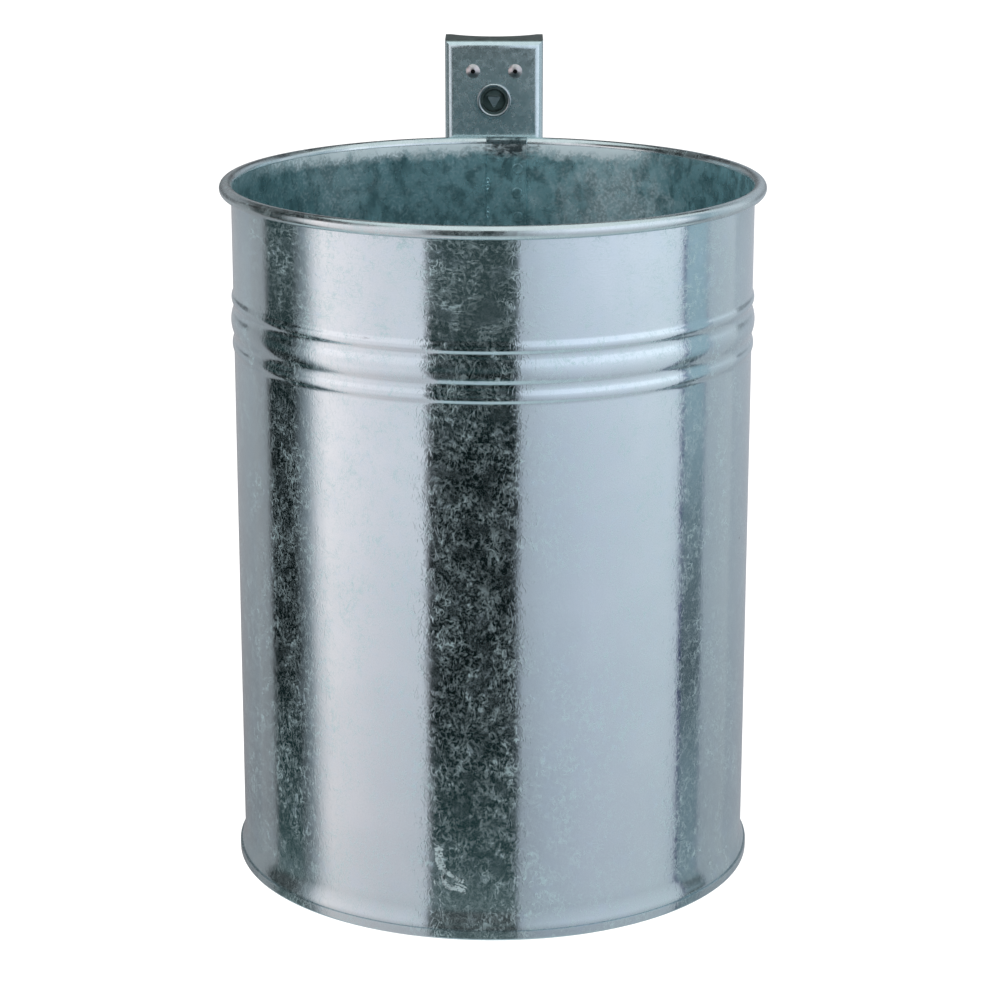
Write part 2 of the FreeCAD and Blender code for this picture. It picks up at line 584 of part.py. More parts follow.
def lock_gasket():
    ring = round_bar(LOCK_BODY + 2 * LOCK_GASKET_WALL, GASKET_FRONT_Y, PLATE_FRONT_Y, 0, LOCK_Z)
    hole = LOCK_BODY + 2 * LOCK_HOLE_CLEARANCE
    return ring.cut(round_bar(hole, GASKET_FRONT_Y, PLATE_FRONT_Y, 0, LOCK_Z))


def lock_nut():
    bore = LOCK_BODY + 2 * THREAD_CLEARANCE
    return hex_nut(LOCK_NUT_FLATS, PLATE_BACK_Y, LOCK_NUT_THICKNESS, bore, 0, LOCK_Z)


def lock_spindle():
    """Three-cornered nose with one corner down, collar, running journal and square end."""
    collar_back = HOUSING_END_Y - SPINDLE_FLOOR - SPINDLE_CLEARANCE
    collar_front = collar_back - SPINDLE_COLLAR_HEIGHT
    corner_radius = KEY_TRIANGLE * 2 / 3
    corners = [Vector(corner_radius * math.cos(math.radians(turn)), collar_front,
                      LOCK_Z + corner_radius * math.sin(math.radians(turn))) for turn in (30, 150, 270)]
    nose = Part.Face(Part.makePolygon(corners + corners[:1])).extrude(FORWARD * KEY_NOSE_LENGTH)
    lengthwise = [edge for edge in nose.Edges if not near(edge.Vertexes[0].Y, edge.Vertexes[1].Y)]
    nose = nose.makeFillet(KEY_TRIANGLE_ROUND, lengthwise)
    collar = round_bar(SPINDLE_COLLAR, collar_front, collar_back, 0, LOCK_Z)
    journal = round_bar(SPINDLE_DIAMETER, collar_back, TONGUE_FRONT_Y, 0, LOCK_Z)
    half = TONGUE_SQUARE / 2
    square = box((-half, half), (TONGUE_FRONT_Y, TONGUE_BACK_Y), (LOCK_Z - half, LOCK_Z + half))
    spindle = nose.fuse([collar, journal, square]).removeSplitter()
    thread = TONGUE_SCREW + 2 * THREAD_CLEARANCE
    return spindle.cut(round_bar(thread, screw_tip_y() - THREAD_CLEARANCE, TONGUE_BACK_Y, 0, LOCK_Z))


def screw_tip_y():
    return SCREW_HEAD_Y - TONGUE_SCREW_LENGTH


def lock_tongue():
    """Flat tongue with a round end about the spindle, pointing down."""
    half = TONGUE_WIDTH / 2
    hub = round_bar(TONGUE_WIDTH, TONGUE_FRONT_Y, TONGUE_BACK_Y, 0, LOCK_Z)
    blade = box((-half, half), (TONGUE_FRONT_Y, TONGUE_BACK_Y), (LOCK_Z - TONGUE_REACH, LOCK_Z))
    hole_half = TONGUE_SQUARE / 2 + TONGUE_SQUARE_CLEARANCE
    hole = box((-hole_half, hole_half), (TONGUE_FRONT_Y, TONGUE_BACK_Y),
               (LOCK_Z - hole_half, LOCK_Z + hole_half))
    return hub.fuse(blade).removeSplitter().cut(hole)


def tongue_washer():
    ring = round_bar(TONGUE_WASHER, TONGUE_BACK_Y, SCREW_HEAD_Y, 0, LOCK_Z)
    hole = TONGUE_SCREW + 2 * THREAD_CLEARANCE
    return ring.cut(round_bar(hole, TONGUE_BACK_Y, SCREW_HEAD_Y, 0, LOCK_Z))


def tongue_screw():
    head_end = SCREW_HEAD_Y + TONGUE_SCREW_HEAD_HEIGHT
    head = round_bar(TONGUE_SCREW_HEAD, SCREW_HEAD_Y, head_end, 0, LOCK_Z)
    head = head.makeFillet(TONGUE_SCREW_HEAD_ROUND, edges_at(head, lambda p: near(p.y, head_end)))
    screw = head.fuse(round_bar(TONGUE_SCREW, screw_tip_y(), SCREW_HEAD_Y, 0, LOCK_Z)).removeSplitter()
    half = TONGUE_SCREW_SLOT / 2
    across = TONGUE_SCREW_HEAD / 2
    return screw.cut(box((-across, across), (head_end - TONGUE_SCREW_SLOT_DEPTH, head_end),
                         (LOCK_Z - half, LOCK_Z + half)))


def lock_keeper():
    """Angle on the crown: its shelf stops the turned tongue from rising."""
    width = (KEEPER_X - KEEPER_WIDTH / 2, KEEPER_X + KEEPER_WIDTH / 2)
    leg = box(width, (-KEEPER_SHEET, 0), (KEEPER_SHELF_Z - KEEPER_LEG, KEEPER_TOP_Z))
    shelf = box(width, (KEEPER_FRONT_Y, 0), (KEEPER_SHELF_Z, KEEPER_TOP_Z))
    keeper = leg.fuse(shelf).removeSplitter()
    hole = KEEPER_RIVET_SHANK + 2 * RIVET_HOLE_CLEARANCE
    for z in keeper_rivet_heights():
        keeper = keeper.cut(round_bar(hole, -KEEPER_SHEET, 0, KEEPER_X, z))
    return keeper


def keeper_rivet_heights():
    middle = KEEPER_SHELF_Z - KEEPER_LEG / 2
    return (middle - KEEPER_RIVET_PITCH / 2, middle + KEEPER_RIVET_PITCH / 2)


def keeper_rivets():
    grip = KEEPER_SHEET + RAIL_SHEET
    return [blind_rivet(KEEPER_X, z, -KEEPER_SHEET, grip, KEEPER_RIVET_SHANK, KEEPER_RIVET_HEAD,
                        KEEPER_RIVET_HEAD_HEIGHT, KEEPER_RIVET_BULB, KEEPER_RIVET_BULB_LENGTH,
                        KEEPER_RIVET_MANDREL, KEEPER_RIVET_MANDREL_DEPTH) for z in keeper_rivet_heights()]


def write(node, shape):
    if isinstance(shape, list):
        shape = Part.makeCompound(shape)
    shape.exportStep("parts/" + node + ".step")
    state = "valid" if shape.isValid() else "INVALID"
    print(node, len(shape.Solids), "solids", round(shape.Volume), "mm3", state)


os.makedirs("parts", exist_ok=True)
write("wall_rail", wall_rail())
write("lock_keeper", lock_keeper())
write("keeper_rivets", keeper_rivets())
write("body_shell", body_shell())
write("rim_wire", rim_wire())
write("bottom_plate", bottom_plate())
write("upper_saddle", saddle(UPPER_SADDLE_Z))
write("lower_saddle", saddle(LOWER_SADDLE_Z))
write("weld_studs", weld_studs())
write("stud_washers", stud_washers())
write("stud_nuts", stud_nuts())
write("hanger_channel", hanger_channel())
write("hook_plate", hook_plate())
write("hook_rivets", hook_rivets())
write("lock_housing", lock_housing())
write("lock_gasket", lock_gasket())
write("lock_nut", lock_nut())
write("lock_spindle", lock_spindle())
write("lock_tongue", lock_tongue())
write("tongue_washer", tongue_washer())
write("tongue_screw", tongue_screw())
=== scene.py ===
"""Looks of the hanging litter bin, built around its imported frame.  Metres, +Z up, can towards -Y."""

import math

import bmesh
import bpy
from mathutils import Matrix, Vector, noise


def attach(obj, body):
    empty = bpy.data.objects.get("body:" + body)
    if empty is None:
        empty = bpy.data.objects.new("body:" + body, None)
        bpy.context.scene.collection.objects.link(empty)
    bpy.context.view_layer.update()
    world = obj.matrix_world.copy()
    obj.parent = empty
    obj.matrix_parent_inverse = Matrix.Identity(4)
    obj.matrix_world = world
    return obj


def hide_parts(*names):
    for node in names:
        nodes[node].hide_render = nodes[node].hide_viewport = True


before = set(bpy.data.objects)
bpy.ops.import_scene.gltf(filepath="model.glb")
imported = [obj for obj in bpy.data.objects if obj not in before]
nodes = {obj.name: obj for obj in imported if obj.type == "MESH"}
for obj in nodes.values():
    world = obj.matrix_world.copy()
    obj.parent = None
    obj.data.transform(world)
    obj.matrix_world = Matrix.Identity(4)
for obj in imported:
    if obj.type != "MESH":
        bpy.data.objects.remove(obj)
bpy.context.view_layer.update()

# Sizes of the can, in millimetres; heights are measured from the frame's origin
MM = 0.001
CAN_Y = -188.15
WALL_R = 162.5
SHEET = 1.0
LAP_R = WALL_R - 2 * SHEET   # inner face of the lap's second layer
RIM_TOP = 70.0
CURL_R = 165.65              # radius of the rim's middle line
CURL_OUTER = 4.15
CURL_INNER = 3.15
CURL_Z = RIM_TOP - CURL_OUTER
CURL_END = -130.0            # degrees, free edge of the roll
FOOT_Z = -370.0
FLARE_Z = FOOT_Z + 19.0
FLARE_OUT = 2.3
FLARE_RUN = 13.0
FLARE_FILLET = 10.0
LAP_FOOT_Z = FOOT_Z + 25.0   # the second layer ends above the bottom
EDGE_Z = FOOT_Z + 1.6        # wall's lower edge inside the folded hem
BEADS = ((2.8, 10.0, 1.1), (-7.6, 18.0, 1.6), (-26.0, 11.0, 1.05))   # upper end, span, height
BEAD_FILLET = 2.8
LAP_EDGES = (-5.0, 22.0)
LAP_ROUND = 0.35
CAN_AXIS = Vector((0, CAN_Y * MM, 0))

# Pieces of the hanger and lock, in millimetres
LOCK_Z = 94.0
RIVET_PLACES = ((-14.2, 113.5), (14.2, 113.5))
RIVET_HOLLOW_R = 1.55             # hollow in a rivet's head, which gets painted shade
RECESS_R = 9.1               # key recess of the lock
RECESS_FRONT_Y = -20.5
NOSE_FOOT_Y = -15.2
FLANGE_Z = 133.0             # top flange of the hanger
HEM_WIDTH = 3.0


# Node helpers
def new_material(name):
    material = bpy.data.materials.new(name)
    material.use_nodes = True
    tree = material.node_tree
    tree.nodes.clear()
    return material, tree


def feed(tree, socket, value):
    """Links a socket to another one, or sets its constant."""
    if isinstance(value, bpy.types.NodeSocket):
        tree.links.new(value, socket)
    else:
        socket.default_value = value


def add(tree, kind, inputs=None, **settings):
    node = tree.nodes.new(kind)
    for key, value in settings.items():
        setattr(node, key, value)
    for key, value in (inputs or {}).items():
        feed(tree, node.inputs[key], value)
    return node


def remap(tree, value, reach, to):
    """Value moved from one range to another, and kept within it."""
    node = add(tree, "ShaderNodeMapRange", {
        "Value": value, "From Min": reach[0], "From Max": reach[1],
        "To Min": to[0], "To Max": to[1]}, clamp=True)
    return node.outputs["Result"]


def maths(tree, operation, a, b=0.5):
    return add(tree, "ShaderNodeMath", {0: a, 1: b}, operation=operation).outputs[0]


def times(tree, a, b):
    return maths(tree, "MULTIPLY", a, b)


def plus(tree, a, b):
    return maths(tree, "ADD", a, b)


def mixed(tree, factor, a, b):
    """Mix of two colours."""
    node = add(tree, "ShaderNodeMix", {0: factor}, data_type="RGBA")
    for index, value in ((6, a), (7, b)):
        feed(tree, node.inputs[index], (*value, 1) if isinstance(value, tuple) else value)
    return node.outputs[2]


def blended(tree, factor, a, b):
    """Mix of two numbers."""
    return add(tree, "ShaderNodeMix", {0: factor, 2: a, 3: b}, data_type="FLOAT").outputs[0]


def place(tree, scale=(1, 1, 1), offset=(0, 0, 0)):
    """Object coordinates, stretched and moved."""
    coordinates = add(tree, "ShaderNodeTexCoord").outputs["Object"]
    return add(tree, "ShaderNodeMapping", {
        "Vector": coordinates, "Scale": scale, "Location": offset}).outputs["Vector"]


def cloud(tree, vector, scale, detail=3.0, roughness=0.55, distortion=0.0):
    return add(tree, "ShaderNodeTexNoise", {
        "Vector": vector, "Scale": scale, "Detail": detail, "Roughness": roughness,
        "Distortion": distortion}).outputs["Fac"]


def bumped(tree, height, strength, distance, normal=None):
    inputs = {"Height": height, "Strength": strength, "Distance": distance}
    if normal is not None:
        inputs["Normal"] = normal
    return add(tree, "ShaderNodeBump", inputs).outputs["Normal"]


def surface(tree, **inputs):
    shader = add(tree, "ShaderNodeBsdfPrincipled",
                 {key.replace("_", " "): value for key, value in inputs.items()})
    add(tree, "ShaderNodeOutputMaterial", {"Surface": shader.outputs["BSDF"]})


def centred(tree, value):
    """Noise moved to swing around 0."""
    return maths(tree, "SUBTRACT", value, 0.5)


def ridged(tree, value):
    """Thin dark lines where the value passes its middle."""
    return maths(tree, "ABSOLUTE", centred(tree, value))


# Noise of the zinc: stretch and offset of its coordinates, then scale, detail, roughness, distortion
LARGE_STRETCH = (1.35, 1.35, 0.72)
LARGE_STROKES = (135.0, 1.5, 0.5, 1.2)
LARGE_LINE = (0.008, 0.055)
LYING_STRETCH = (0.55, 0.55, 2.2)
LYING_STROKES = (150.0, 1.5, 0.5, 0.5)
LYING_FADE = 0.004
SMALL_STRETCH, SMALL_OFFSET = (1.15, 1.15, 0.85), (0.7, 0.2, 0.4)
SMALL_STROKES = (215.0, 1.0, 0.5, 1.0)
SMALL_LINE = (0.01, 0.065)
LARGE_GAP_OFFSET, LARGE_GAPS = (0.1, 0.5, 0.9), (170.0, 1.0)
SMALL_GAP_OFFSET, SMALL_GAPS = (0.6, 0.3, 0.2), (200.0, 1.0)
GAP_REACH = (0.42, 0.56)
GRAIN = (520.0, 1.0, 0.5)
GRAIN_REACH, GRAIN_MOST = (0.46, 0.68), 0.5
PATCHES = (3.0, 0.55, 0.3)
CLOUD_OFFSET, CLOUDS = (0.9, 0.4, 0.1), (22.0, 3.0, 0.55, 0.3)
CLOUD_WEIGHT = 0.8
CALM_OFFSET, CALM_AREAS = (0.3, 0.1, 0.2), (85.0, 3.0, 0.55)
CALM_REACH = (0.53, 0.63)
VEIL_REACH, ROUGH_REACH = (0.40, 0.66), (0.35, 0.65)
DARK_CLOUD_REACH, DARK_PATCH_REACH = (0.36, 0.64), (0.38, 0.66)
FROST_REACH, FROST_LEAST, FROST_MOST = (-0.16, 0.18), 0.3, 1.25
WAVE_STRETCH, WAVES = (1, 1, 0.5), (40.0, 2.0, 0.5)
PIT_SCALE, PIT_EDGE = 58.0, (0.03, 0.075)
PIT_SHARE, PIT_TINT, PIT_DEPTH = 0.6, (0.09, 0.105, 0.11), 1.5
CRYSTAL_RELIEF = (0.6, 0.000022)      # strength and distance of the bump
WAVE_RELIEF = (0.25, 0.0003)
# Zinc that has gathered below the band's lower height and on the lying strokes
GATHERED_FADE, GATHERED_LOW, GATHERED_HIGH = 0.015, 0.07, 0.02
# Duller zinc on the flare: between which heights it fades out, how much of it, and its colour
FLARE_FADE = (-0.366, -0.346)
FLARE_SHARE = 0.45
FLARE_TINT = (0.34, 0.42, 0.44)

# Marks and painted light on the inside of the can, from its axis, in metres
LIT_BAND_EDGE = (0.0563, 0.0648)         # heights where the band of painted light below the rim fades in
LIT_BAND_SHARE = 0.85
LIT_BAND_RAGGED, LIT_BAND_AND_SPOT_NOISE = 0.016, (95.0, 4.0, 0.6, 0.4)
LIT_BAND_BACK = (0.05, 0.13)             # y, where it fades in towards the back
LIT_BAND_RIGHT = (0.085, 0.105)          # x, where it fades out at the right
LIT_BAND_REST = 0.1
BLOOM_SPOTS = (((0.082, 0.139, 0.030, 0.055), 0.30),
               ((-0.103, 0.124, 0.048, 0.035), 0.12))   # x, y, z, radius, and how much
BLOOM_AND_LIGHT_VEIL = 0.5
SPECKLE_REACH, SPECKLE_SHARE = (0.0, 0.4), (1.2, 2.4)   # grain, and how it strengthens the bloom and the painted light
BLOOM_AND_LIGHT_TINT = (0.72, 0.86, 0.91)
SPOT_RAGGED, SPOT_CORE = 2.2, 0.2     # in radii
STAIN_STRETCH, STAIN_NOISE = (1, 1, 2), (190.0, 3.0, 0.6, 0.5)
STAIN_SPOT = (0.0095, 0.160, 0.126, 0.021)    # height doubled, for a spot twice as wide as tall
STAIN_SHARE, STAIN_TINT = 0.94, (0.015, 0.03, 0.035)
FLECK_REACH, FLECK_SHARE, FLECK_TINT = (0.38, 0.62), (0.15, 0.7), (0.50, 0.72, 0.77)
# Painted shade: darker on the left of the inside, from x to x; and darker zinc in blotches all over it
SHADE_REACH, SHADE_SHARE = (-0.15, 0.02), 0.55
SHADE_AND_BLOTCH_TINT = (0.075, 0.175, 0.195)
BLOTCH_STRETCH, BLOTCH_OFFSET = (1, 1, 0.8), (0.2, 0.8, 0.5)
BLOTCH_NOISE = (105.0, 4.0, 0.6, 0.4)
BLOTCH_REACH, BLOTCH_SHARE = (0.44, 0.60), 0.75


# Materials
def ragged_spot(tree, vector, spot, ragged):
    """1 inside a spot of (x, y, z, radius), fading to 0 at its ragged edge."""
    x, y, z, radius = spot
    reach = add(tree, "ShaderNodeVectorMath", {0: vector, 1: (x, y, z)},
                operation="DISTANCE").outputs["Value"]
    reach = plus(tree, reach, times(tree, ragged, SPOT_RAGGED * radius))
    return remap(tree, reach, (SPOT_CORE * radius, radius), (1.0, 0.0))


def blooms_and_painted_light(tree, vector, here):
    """Paler inside of the can: a band of painted light below the rim at the back, and two pale patches
    of zinc.
    """
    # The band below the rim is painted light, where light falls in through the opening
    ragged = centred(tree, cloud(tree, vector, *LIT_BAND_AND_SPOT_NOISE))
    edge = plus(tree, here["Z"], times(tree, ragged, LIT_BAND_RAGGED))
    band_and_spots = remap(tree, edge, LIT_BAND_EDGE, (0.0, LIT_BAND_SHARE))
    band_and_spots = times(tree, band_and_spots, remap(tree, here["Y"], LIT_BAND_BACK, (LIT_BAND_REST, 1.0)))
    band_and_spots = times(tree, band_and_spots, remap(tree, here["X"], LIT_BAND_RIGHT, (1.0, LIT_BAND_REST)))
    for spot, amount in BLOOM_SPOTS:
        band_and_spots = plus(tree, band_and_spots, times(tree, ragged_spot(tree, vector, spot, ragged), amount))
    return band_and_spots


def stain(tree):
    """Dark mottled stain where the lap ends below the rim."""
    vector = place(tree, STAIN_STRETCH)
    ragged = centred(tree, cloud(tree, vector, *STAIN_NOISE))
    return ragged_spot(tree, vector, STAIN_SPOT, ragged)


def frost_strokes(tree, lying_here):
    """Crinkled strokes of two sizes with gaps in them; they lie flat where lying_here is 1."""
    large = cloud(tree, place(tree, LARGE_STRETCH), *LARGE_STROKES)
    if lying_here is not None:
        lying = cloud(tree, place(tree, LYING_STRETCH), *LYING_STROKES)
        large = blended(tree, lying_here, large, lying)
    small = cloud(tree, place(tree, SMALL_STRETCH, SMALL_OFFSET), *SMALL_STROKES)
    large_gaps = cloud(tree, place(tree, offset=LARGE_GAP_OFFSET), *LARGE_GAPS)
    small_gaps = cloud(tree, place(tree, offset=SMALL_GAP_OFFSET), *SMALL_GAPS)
    return plus(tree,
                times(tree, remap(tree, ridged(tree, large), LARGE_LINE, (1.0, 0.0)),
                      remap(tree, large_gaps, GAP_REACH, (0.0, 1.0))),
                times(tree, remap(tree, ridged(tree, small), SMALL_LINE, (1.0, 0.0)),
                      remap(tree, small_gaps, GAP_REACH, (0.0, 1.0))))


def small_pits(tree, vector, pitted):
    """1 in the middle of a few cells; pitted is the share of cells without a pit."""
    pits = add(tree, "ShaderNodeTexVoronoi", {"Vector": vector, "Scale": PIT_SCALE})
    pick = add(tree, "ShaderNodeSeparateColor", {"Color": pits.outputs["Color"]}).outputs[1]
    return times(tree, maths(tree, "GREATER_THAN", pick, pitted),
                 remap(tree, pits.outputs["Distance"], PIT_EDGE, (1.0, 0.0)))


def inside_tint(tree, tint, here, grain, patches, bloomed_and_lit):
    """Painted shade on the left, blotches, flecks, bloom with a band of painted light, and stain of
    the inside over its zinc.
    """
    # Painted shade towards the left of the inside
    shade = remap(tree, here["X"], SHADE_REACH, (SHADE_SHARE, 0.0))
    tint = mixed(tree, shade, tint, SHADE_AND_BLOTCH_TINT)
    blotches = cloud(tree, place(tree, BLOTCH_STRETCH, BLOTCH_OFFSET), *BLOTCH_NOISE)
    blotches = remap(tree, blotches, BLOTCH_REACH, (0.0, BLOTCH_SHARE))
    tint = mixed(tree, blotches, tint, SHADE_AND_BLOTCH_TINT)
    flecked = times(tree, grain, remap(tree, patches, FLECK_REACH, FLECK_SHARE))
    tint = mixed(tree, flecked, tint, FLECK_TINT)
    speckled = times(tree, bloomed_and_lit, remap(tree, grain, SPECKLE_REACH, SPECKLE_SHARE))
    tint = mixed(tree, maths(tree, "MINIMUM", speckled, 1.0), tint, BLOOM_AND_LIGHT_TINT)
    return mixed(tree, times(tree, stain(tree), STAIN_SHARE), tint, STAIN_TINT)


def galvanised(name, light, dark, rough=(0.07, 0.13), frost=0.22, veil=(0.0, 0.014),
               pale=(0.365, 0.52, 0.55), relief=1.0, patch_size=55.0, pitted=0.965, band=None,
               cloudy=0.35, calm=0.25, cool=1.0, paling=1.7, inside=False):
    """Hot-dip zinc: bright metal under crinkled strokes of pale frost, with calmer patches and pits.

    light and dark are the metal's colours and pale the frost's, which cool makes bluer in calm
    patches.  frost is the most that a stroke covers, veil the least and most between them.  cloudy
    is the share of dark in patches, calm what is left of the strokes in calm ones, and paling how
    fast frost takes its colour.  With a band of two heights, the strokes lie flat above the upper
    one and zinc has gathered below the lower one.
    """
    material, tree = new_material(name)
    vector = place(tree)
    here = add(tree, "ShaderNodeSeparateXYZ", {"Vector": vector}).outputs
    lying_here = None
    if band is not None:
        lying_here = remap(tree, here["Z"], (band[1] - LYING_FADE, band[1] + LYING_FADE), (0.0, 1.0))
    grain = remap(tree, cloud(tree, vector, *GRAIN), GRAIN_REACH, (0.0, GRAIN_MOST))
    patches = cloud(tree, vector, patch_size, *PATCHES)
    clouds = cloud(tree, place(tree, offset=CLOUD_OFFSET), *CLOUDS)
    lively = remap(tree, cloud(tree, place(tree, offset=CALM_OFFSET), *CALM_AREAS),
                   CALM_REACH, (1.0, calm))
    if inside:
        crystals = grain
    else:
        crystals = times(tree, plus(tree, frost_strokes(tree, lying_here), grain), lively)

    share = plus(tree, centred(tree, patches), times(tree, centred(tree, clouds), CLOUD_WEIGHT))
    share = remap(tree, share, FROST_REACH, (FROST_LEAST * frost, FROST_MOST * frost))
    between_strokes = plus(tree, remap(tree, patches, VEIL_REACH, veil),
                           remap(tree, lively, (calm, 1.0), (veil[1] - veil[0], 0.0)))
    if band is not None:
        reach = (band[0] - GATHERED_FADE, band[0] + GATHERED_FADE)
        gathered = plus(tree, remap(tree, here["Z"], reach, (GATHERED_LOW, 0.0)),
                        times(tree, lying_here, GATHERED_HIGH))
        between_strokes = plus(tree, between_strokes, gathered)
    if inside:
        # Pale patches of zinc, and a band of painted light below the rim
        bloomed_and_lit = blooms_and_painted_light(tree, vector, here)
        between_strokes = plus(tree, between_strokes, times(tree, bloomed_and_lit, BLOOM_AND_LIGHT_VEIL))
    frosted = plus(tree, times(tree, crystals, share), between_strokes)

    tint = mixed(tree, remap(tree, clouds, DARK_CLOUD_REACH, (0.0, 1.0)), light, dark)
    tint = mixed(tree, remap(tree, patches, DARK_PATCH_REACH, (0.0, cloudy)), tint, dark)
    bluish = (pale[0], pale[1], pale[2] * cool)
    frost_tint = mixed(tree, remap(tree, lively, (calm, 1.0), (0.0, 1.0)), bluish, pale)
    veiled = maths(tree, "MINIMUM", times(tree, frosted, paling), 1.0)
    tint = mixed(tree, veiled, tint, frost_tint)
    if inside:
        tint = inside_tint(tree, tint, here, grain, patches, bloomed_and_lit)
    if band is not None:
        tint = mixed(tree, remap(tree, here["Z"], FLARE_FADE, (FLARE_SHARE, 0.0)), tint, FLARE_TINT)
    pit = small_pits(tree, vector, pitted)
    tint = mixed(tree, times(tree, pit, PIT_SHARE), tint, PIT_TINT)

    height = maths(tree, "SUBTRACT", crystals, times(tree, pit, PIT_DEPTH))
    normal = bumped(tree, height, CRYSTAL_RELIEF[0], CRYSTAL_RELIEF[1] * relief)
    normal = bumped(tree, cloud(tree, place(tree, WAVE_STRETCH), *WAVES), *WAVE_RELIEF, normal)
    surface(tree, Base_Color=tint, Metallic=maths(tree, "SUBTRACT", 1.0, frosted),
            Roughness=remap(tree, patches, ROUGH_REACH, rough), Normal=normal)
    return material


BRUSH_STRETCH, BRUSHING = (1, 1, 14), (160.0, 3.0, 0.6)
BRUSH_RELIEF = (0.25, 0.00005)
WEAR, WEAR_REACH = (120.0, 4.0, 0.6), (0.4, 0.7)
RUBBER_GRAIN, RUBBER_RELIEF = 900.0, (0.4, 0.0001)
RUBBER_TINTS = ((0.012, 0.013, 0.013), (0.035, 0.036, 0.036))
RUBBER_REACH, RUBBER_ROUGH = (0.3, 0.7), (0.55, 0.8)


def plated(name, colour, worn, smooth, dull):
    """Thin plating with faint brushing and a little dulling."""
    material, tree = new_material(name)
    brushing = cloud(tree, place(tree, BRUSH_STRETCH), *BRUSHING)
    wear = cloud(tree, place(tree), *WEAR)
    tint = mixed(tree, remap(tree, wear, WEAR_REACH, (0.0, 1.0)), colour, worn)
    both = plus(tree, times(tree, brushing, 0.5), times(tree, wear, 0.5))
    surface(tree, Base_Color=tint, Metallic=1.0,
            Roughness=remap(tree, both, ROUGH_REACH, (smooth, dull)),
            Normal=bumped(tree, brushing, *BRUSH_RELIEF))
    return material


def rubber(name):
    """Matt black rubber with a fine grain."""
    material, tree = new_material(name)
    grain = cloud(tree, place(tree), RUBBER_GRAIN)
    surface(tree, Base_Color=mixed(tree, grain, *RUBBER_TINTS),
            Roughness=remap(tree, grain, RUBBER_REACH, RUBBER_ROUGH),
            Normal=bumped(tree, grain, *RUBBER_RELIEF))
    return material


CAN_ZINC = galvanised(
    "can_zinc", (0.595, 0.73, 0.775), (0.56, 0.695, 0.74), band=(-0.335, 0.004), cool=1.25)
RIM_ZINC = galvanised(
    "rim_zinc", (0.60, 0.71, 0.73), (0.53, 0.645, 0.67), rough=(0.18, 0.31), frost=0.16,
    veil=(0.0, 0.04), relief=0.3)
# Painted shade: the inside's zinc, darker and more teal than the outside's, standing in for the can's
# shade and the light bounced inside it
INSIDE_ZINC_PAINTED_SHADE = galvanised(
    "inside_zinc_painted_shade", (0.42, 0.75, 0.82), (0.19, 0.385, 0.43), rough=(0.22, 0.42), frost=0.06,
    veil=(0.33, 0.36), pale=(0.25, 0.48, 0.53), relief=0.1, patch_size=60.0, pitted=0.998,
    cloudy=0.9, calm=0.7, paling=1.0, inside=True)
FRAME_ZINC = galvanised(
    "frame_zinc", (0.54, 0.63, 0.65), (0.45, 0.53, 0.56), rough=(0.22, 0.36), frost=0.30,
    veil=(0.0, 0.10), pale=(0.42, 0.52, 0.54), relief=0.5)
HANGER_ZINC = galvanised(
    "hanger_zinc", (0.65, 0.81, 0.85), (0.52, 0.665, 0.70), rough=(0.18, 0.30), frost=0.04,
    veil=(0.11, 0.14), pale=(0.42, 0.57, 0.605), relief=0.2, patch_size=300.0, pitted=0.998,
    cloudy=0.8, calm=0.8, paling=1.0)
# Painted dark reflection: the hanger's up-facing top flange, darker than its front plate
FLANGE_PAINTED_REFLECTION = galvanised(
    "flange_painted_reflection", (0.28, 0.36, 0.35), (0.17, 0.23, 0.22), rough=(0.30, 0.50), frost=0.15,
    veil=(0.0, 0.05), pale=(0.21, 0.28, 0.28), relief=0.2, patch_size=260.0, pitted=0.998, calm=0.7)
WELD_ZINC = galvanised(
    "weld_zinc", (0.30, 0.41, 0.43), (0.015, 0.03, 0.035), rough=(0.25, 0.60), frost=0.40,
    veil=(0.0, 0.05), pale=(0.16, 0.26, 0.28), relief=0.6, patch_size=210.0, cloudy=1.0)
RUN_ZINC = galvanised(
    "run_zinc", (0.44, 0.54, 0.56), (0.26, 0.34, 0.36), rough=(0.20, 0.35), frost=0.3,
    veil=(0.02, 1.0), pale=(0.28, 0.36, 0.38), patch_size=330.0, pitted=0.998, cloudy=0.3, calm=0.9,
    paling=1.2)
BRIGHT_ZINC = plated("bright_zinc", (0.66, 0.68, 0.69), (0.52, 0.54, 0.55), 0.22, 0.42)
ALUMINIUM = plated("rivet_aluminium", (0.53, 0.55, 0.56), (0.39, 0.41, 0.42), 0.30, 0.46)
NICKEL = plated("lock_nickel", (0.52, 0.62, 0.64), (0.38, 0.46, 0.48), 0.22, 0.38)
# Painted shade: dark colour for the lock's key recess and the spindle's collar inside it
LOCK_RECESS_PAINTED_SHADE = plated("lock_recess_painted_shade", (0.16, 0.23, 0.22), (0.07, 0.11, 0.105), 0.35, 0.6)
# Painted shade: near-black colour for the hollows in the rivets' heads
RIVET_HOLLOW_SHADE = plated("rivet_hollow_painted_shade", (0.05, 0.05, 0.055), (0.02, 0.02, 0.02), 0.5, 0.7)
STEEL = plated("wire_steel", (0.42, 0.43, 0.44), (0.30, 0.31, 0.32), 0.3, 0.5)
RUBBER = rubber("gasket_rubber")

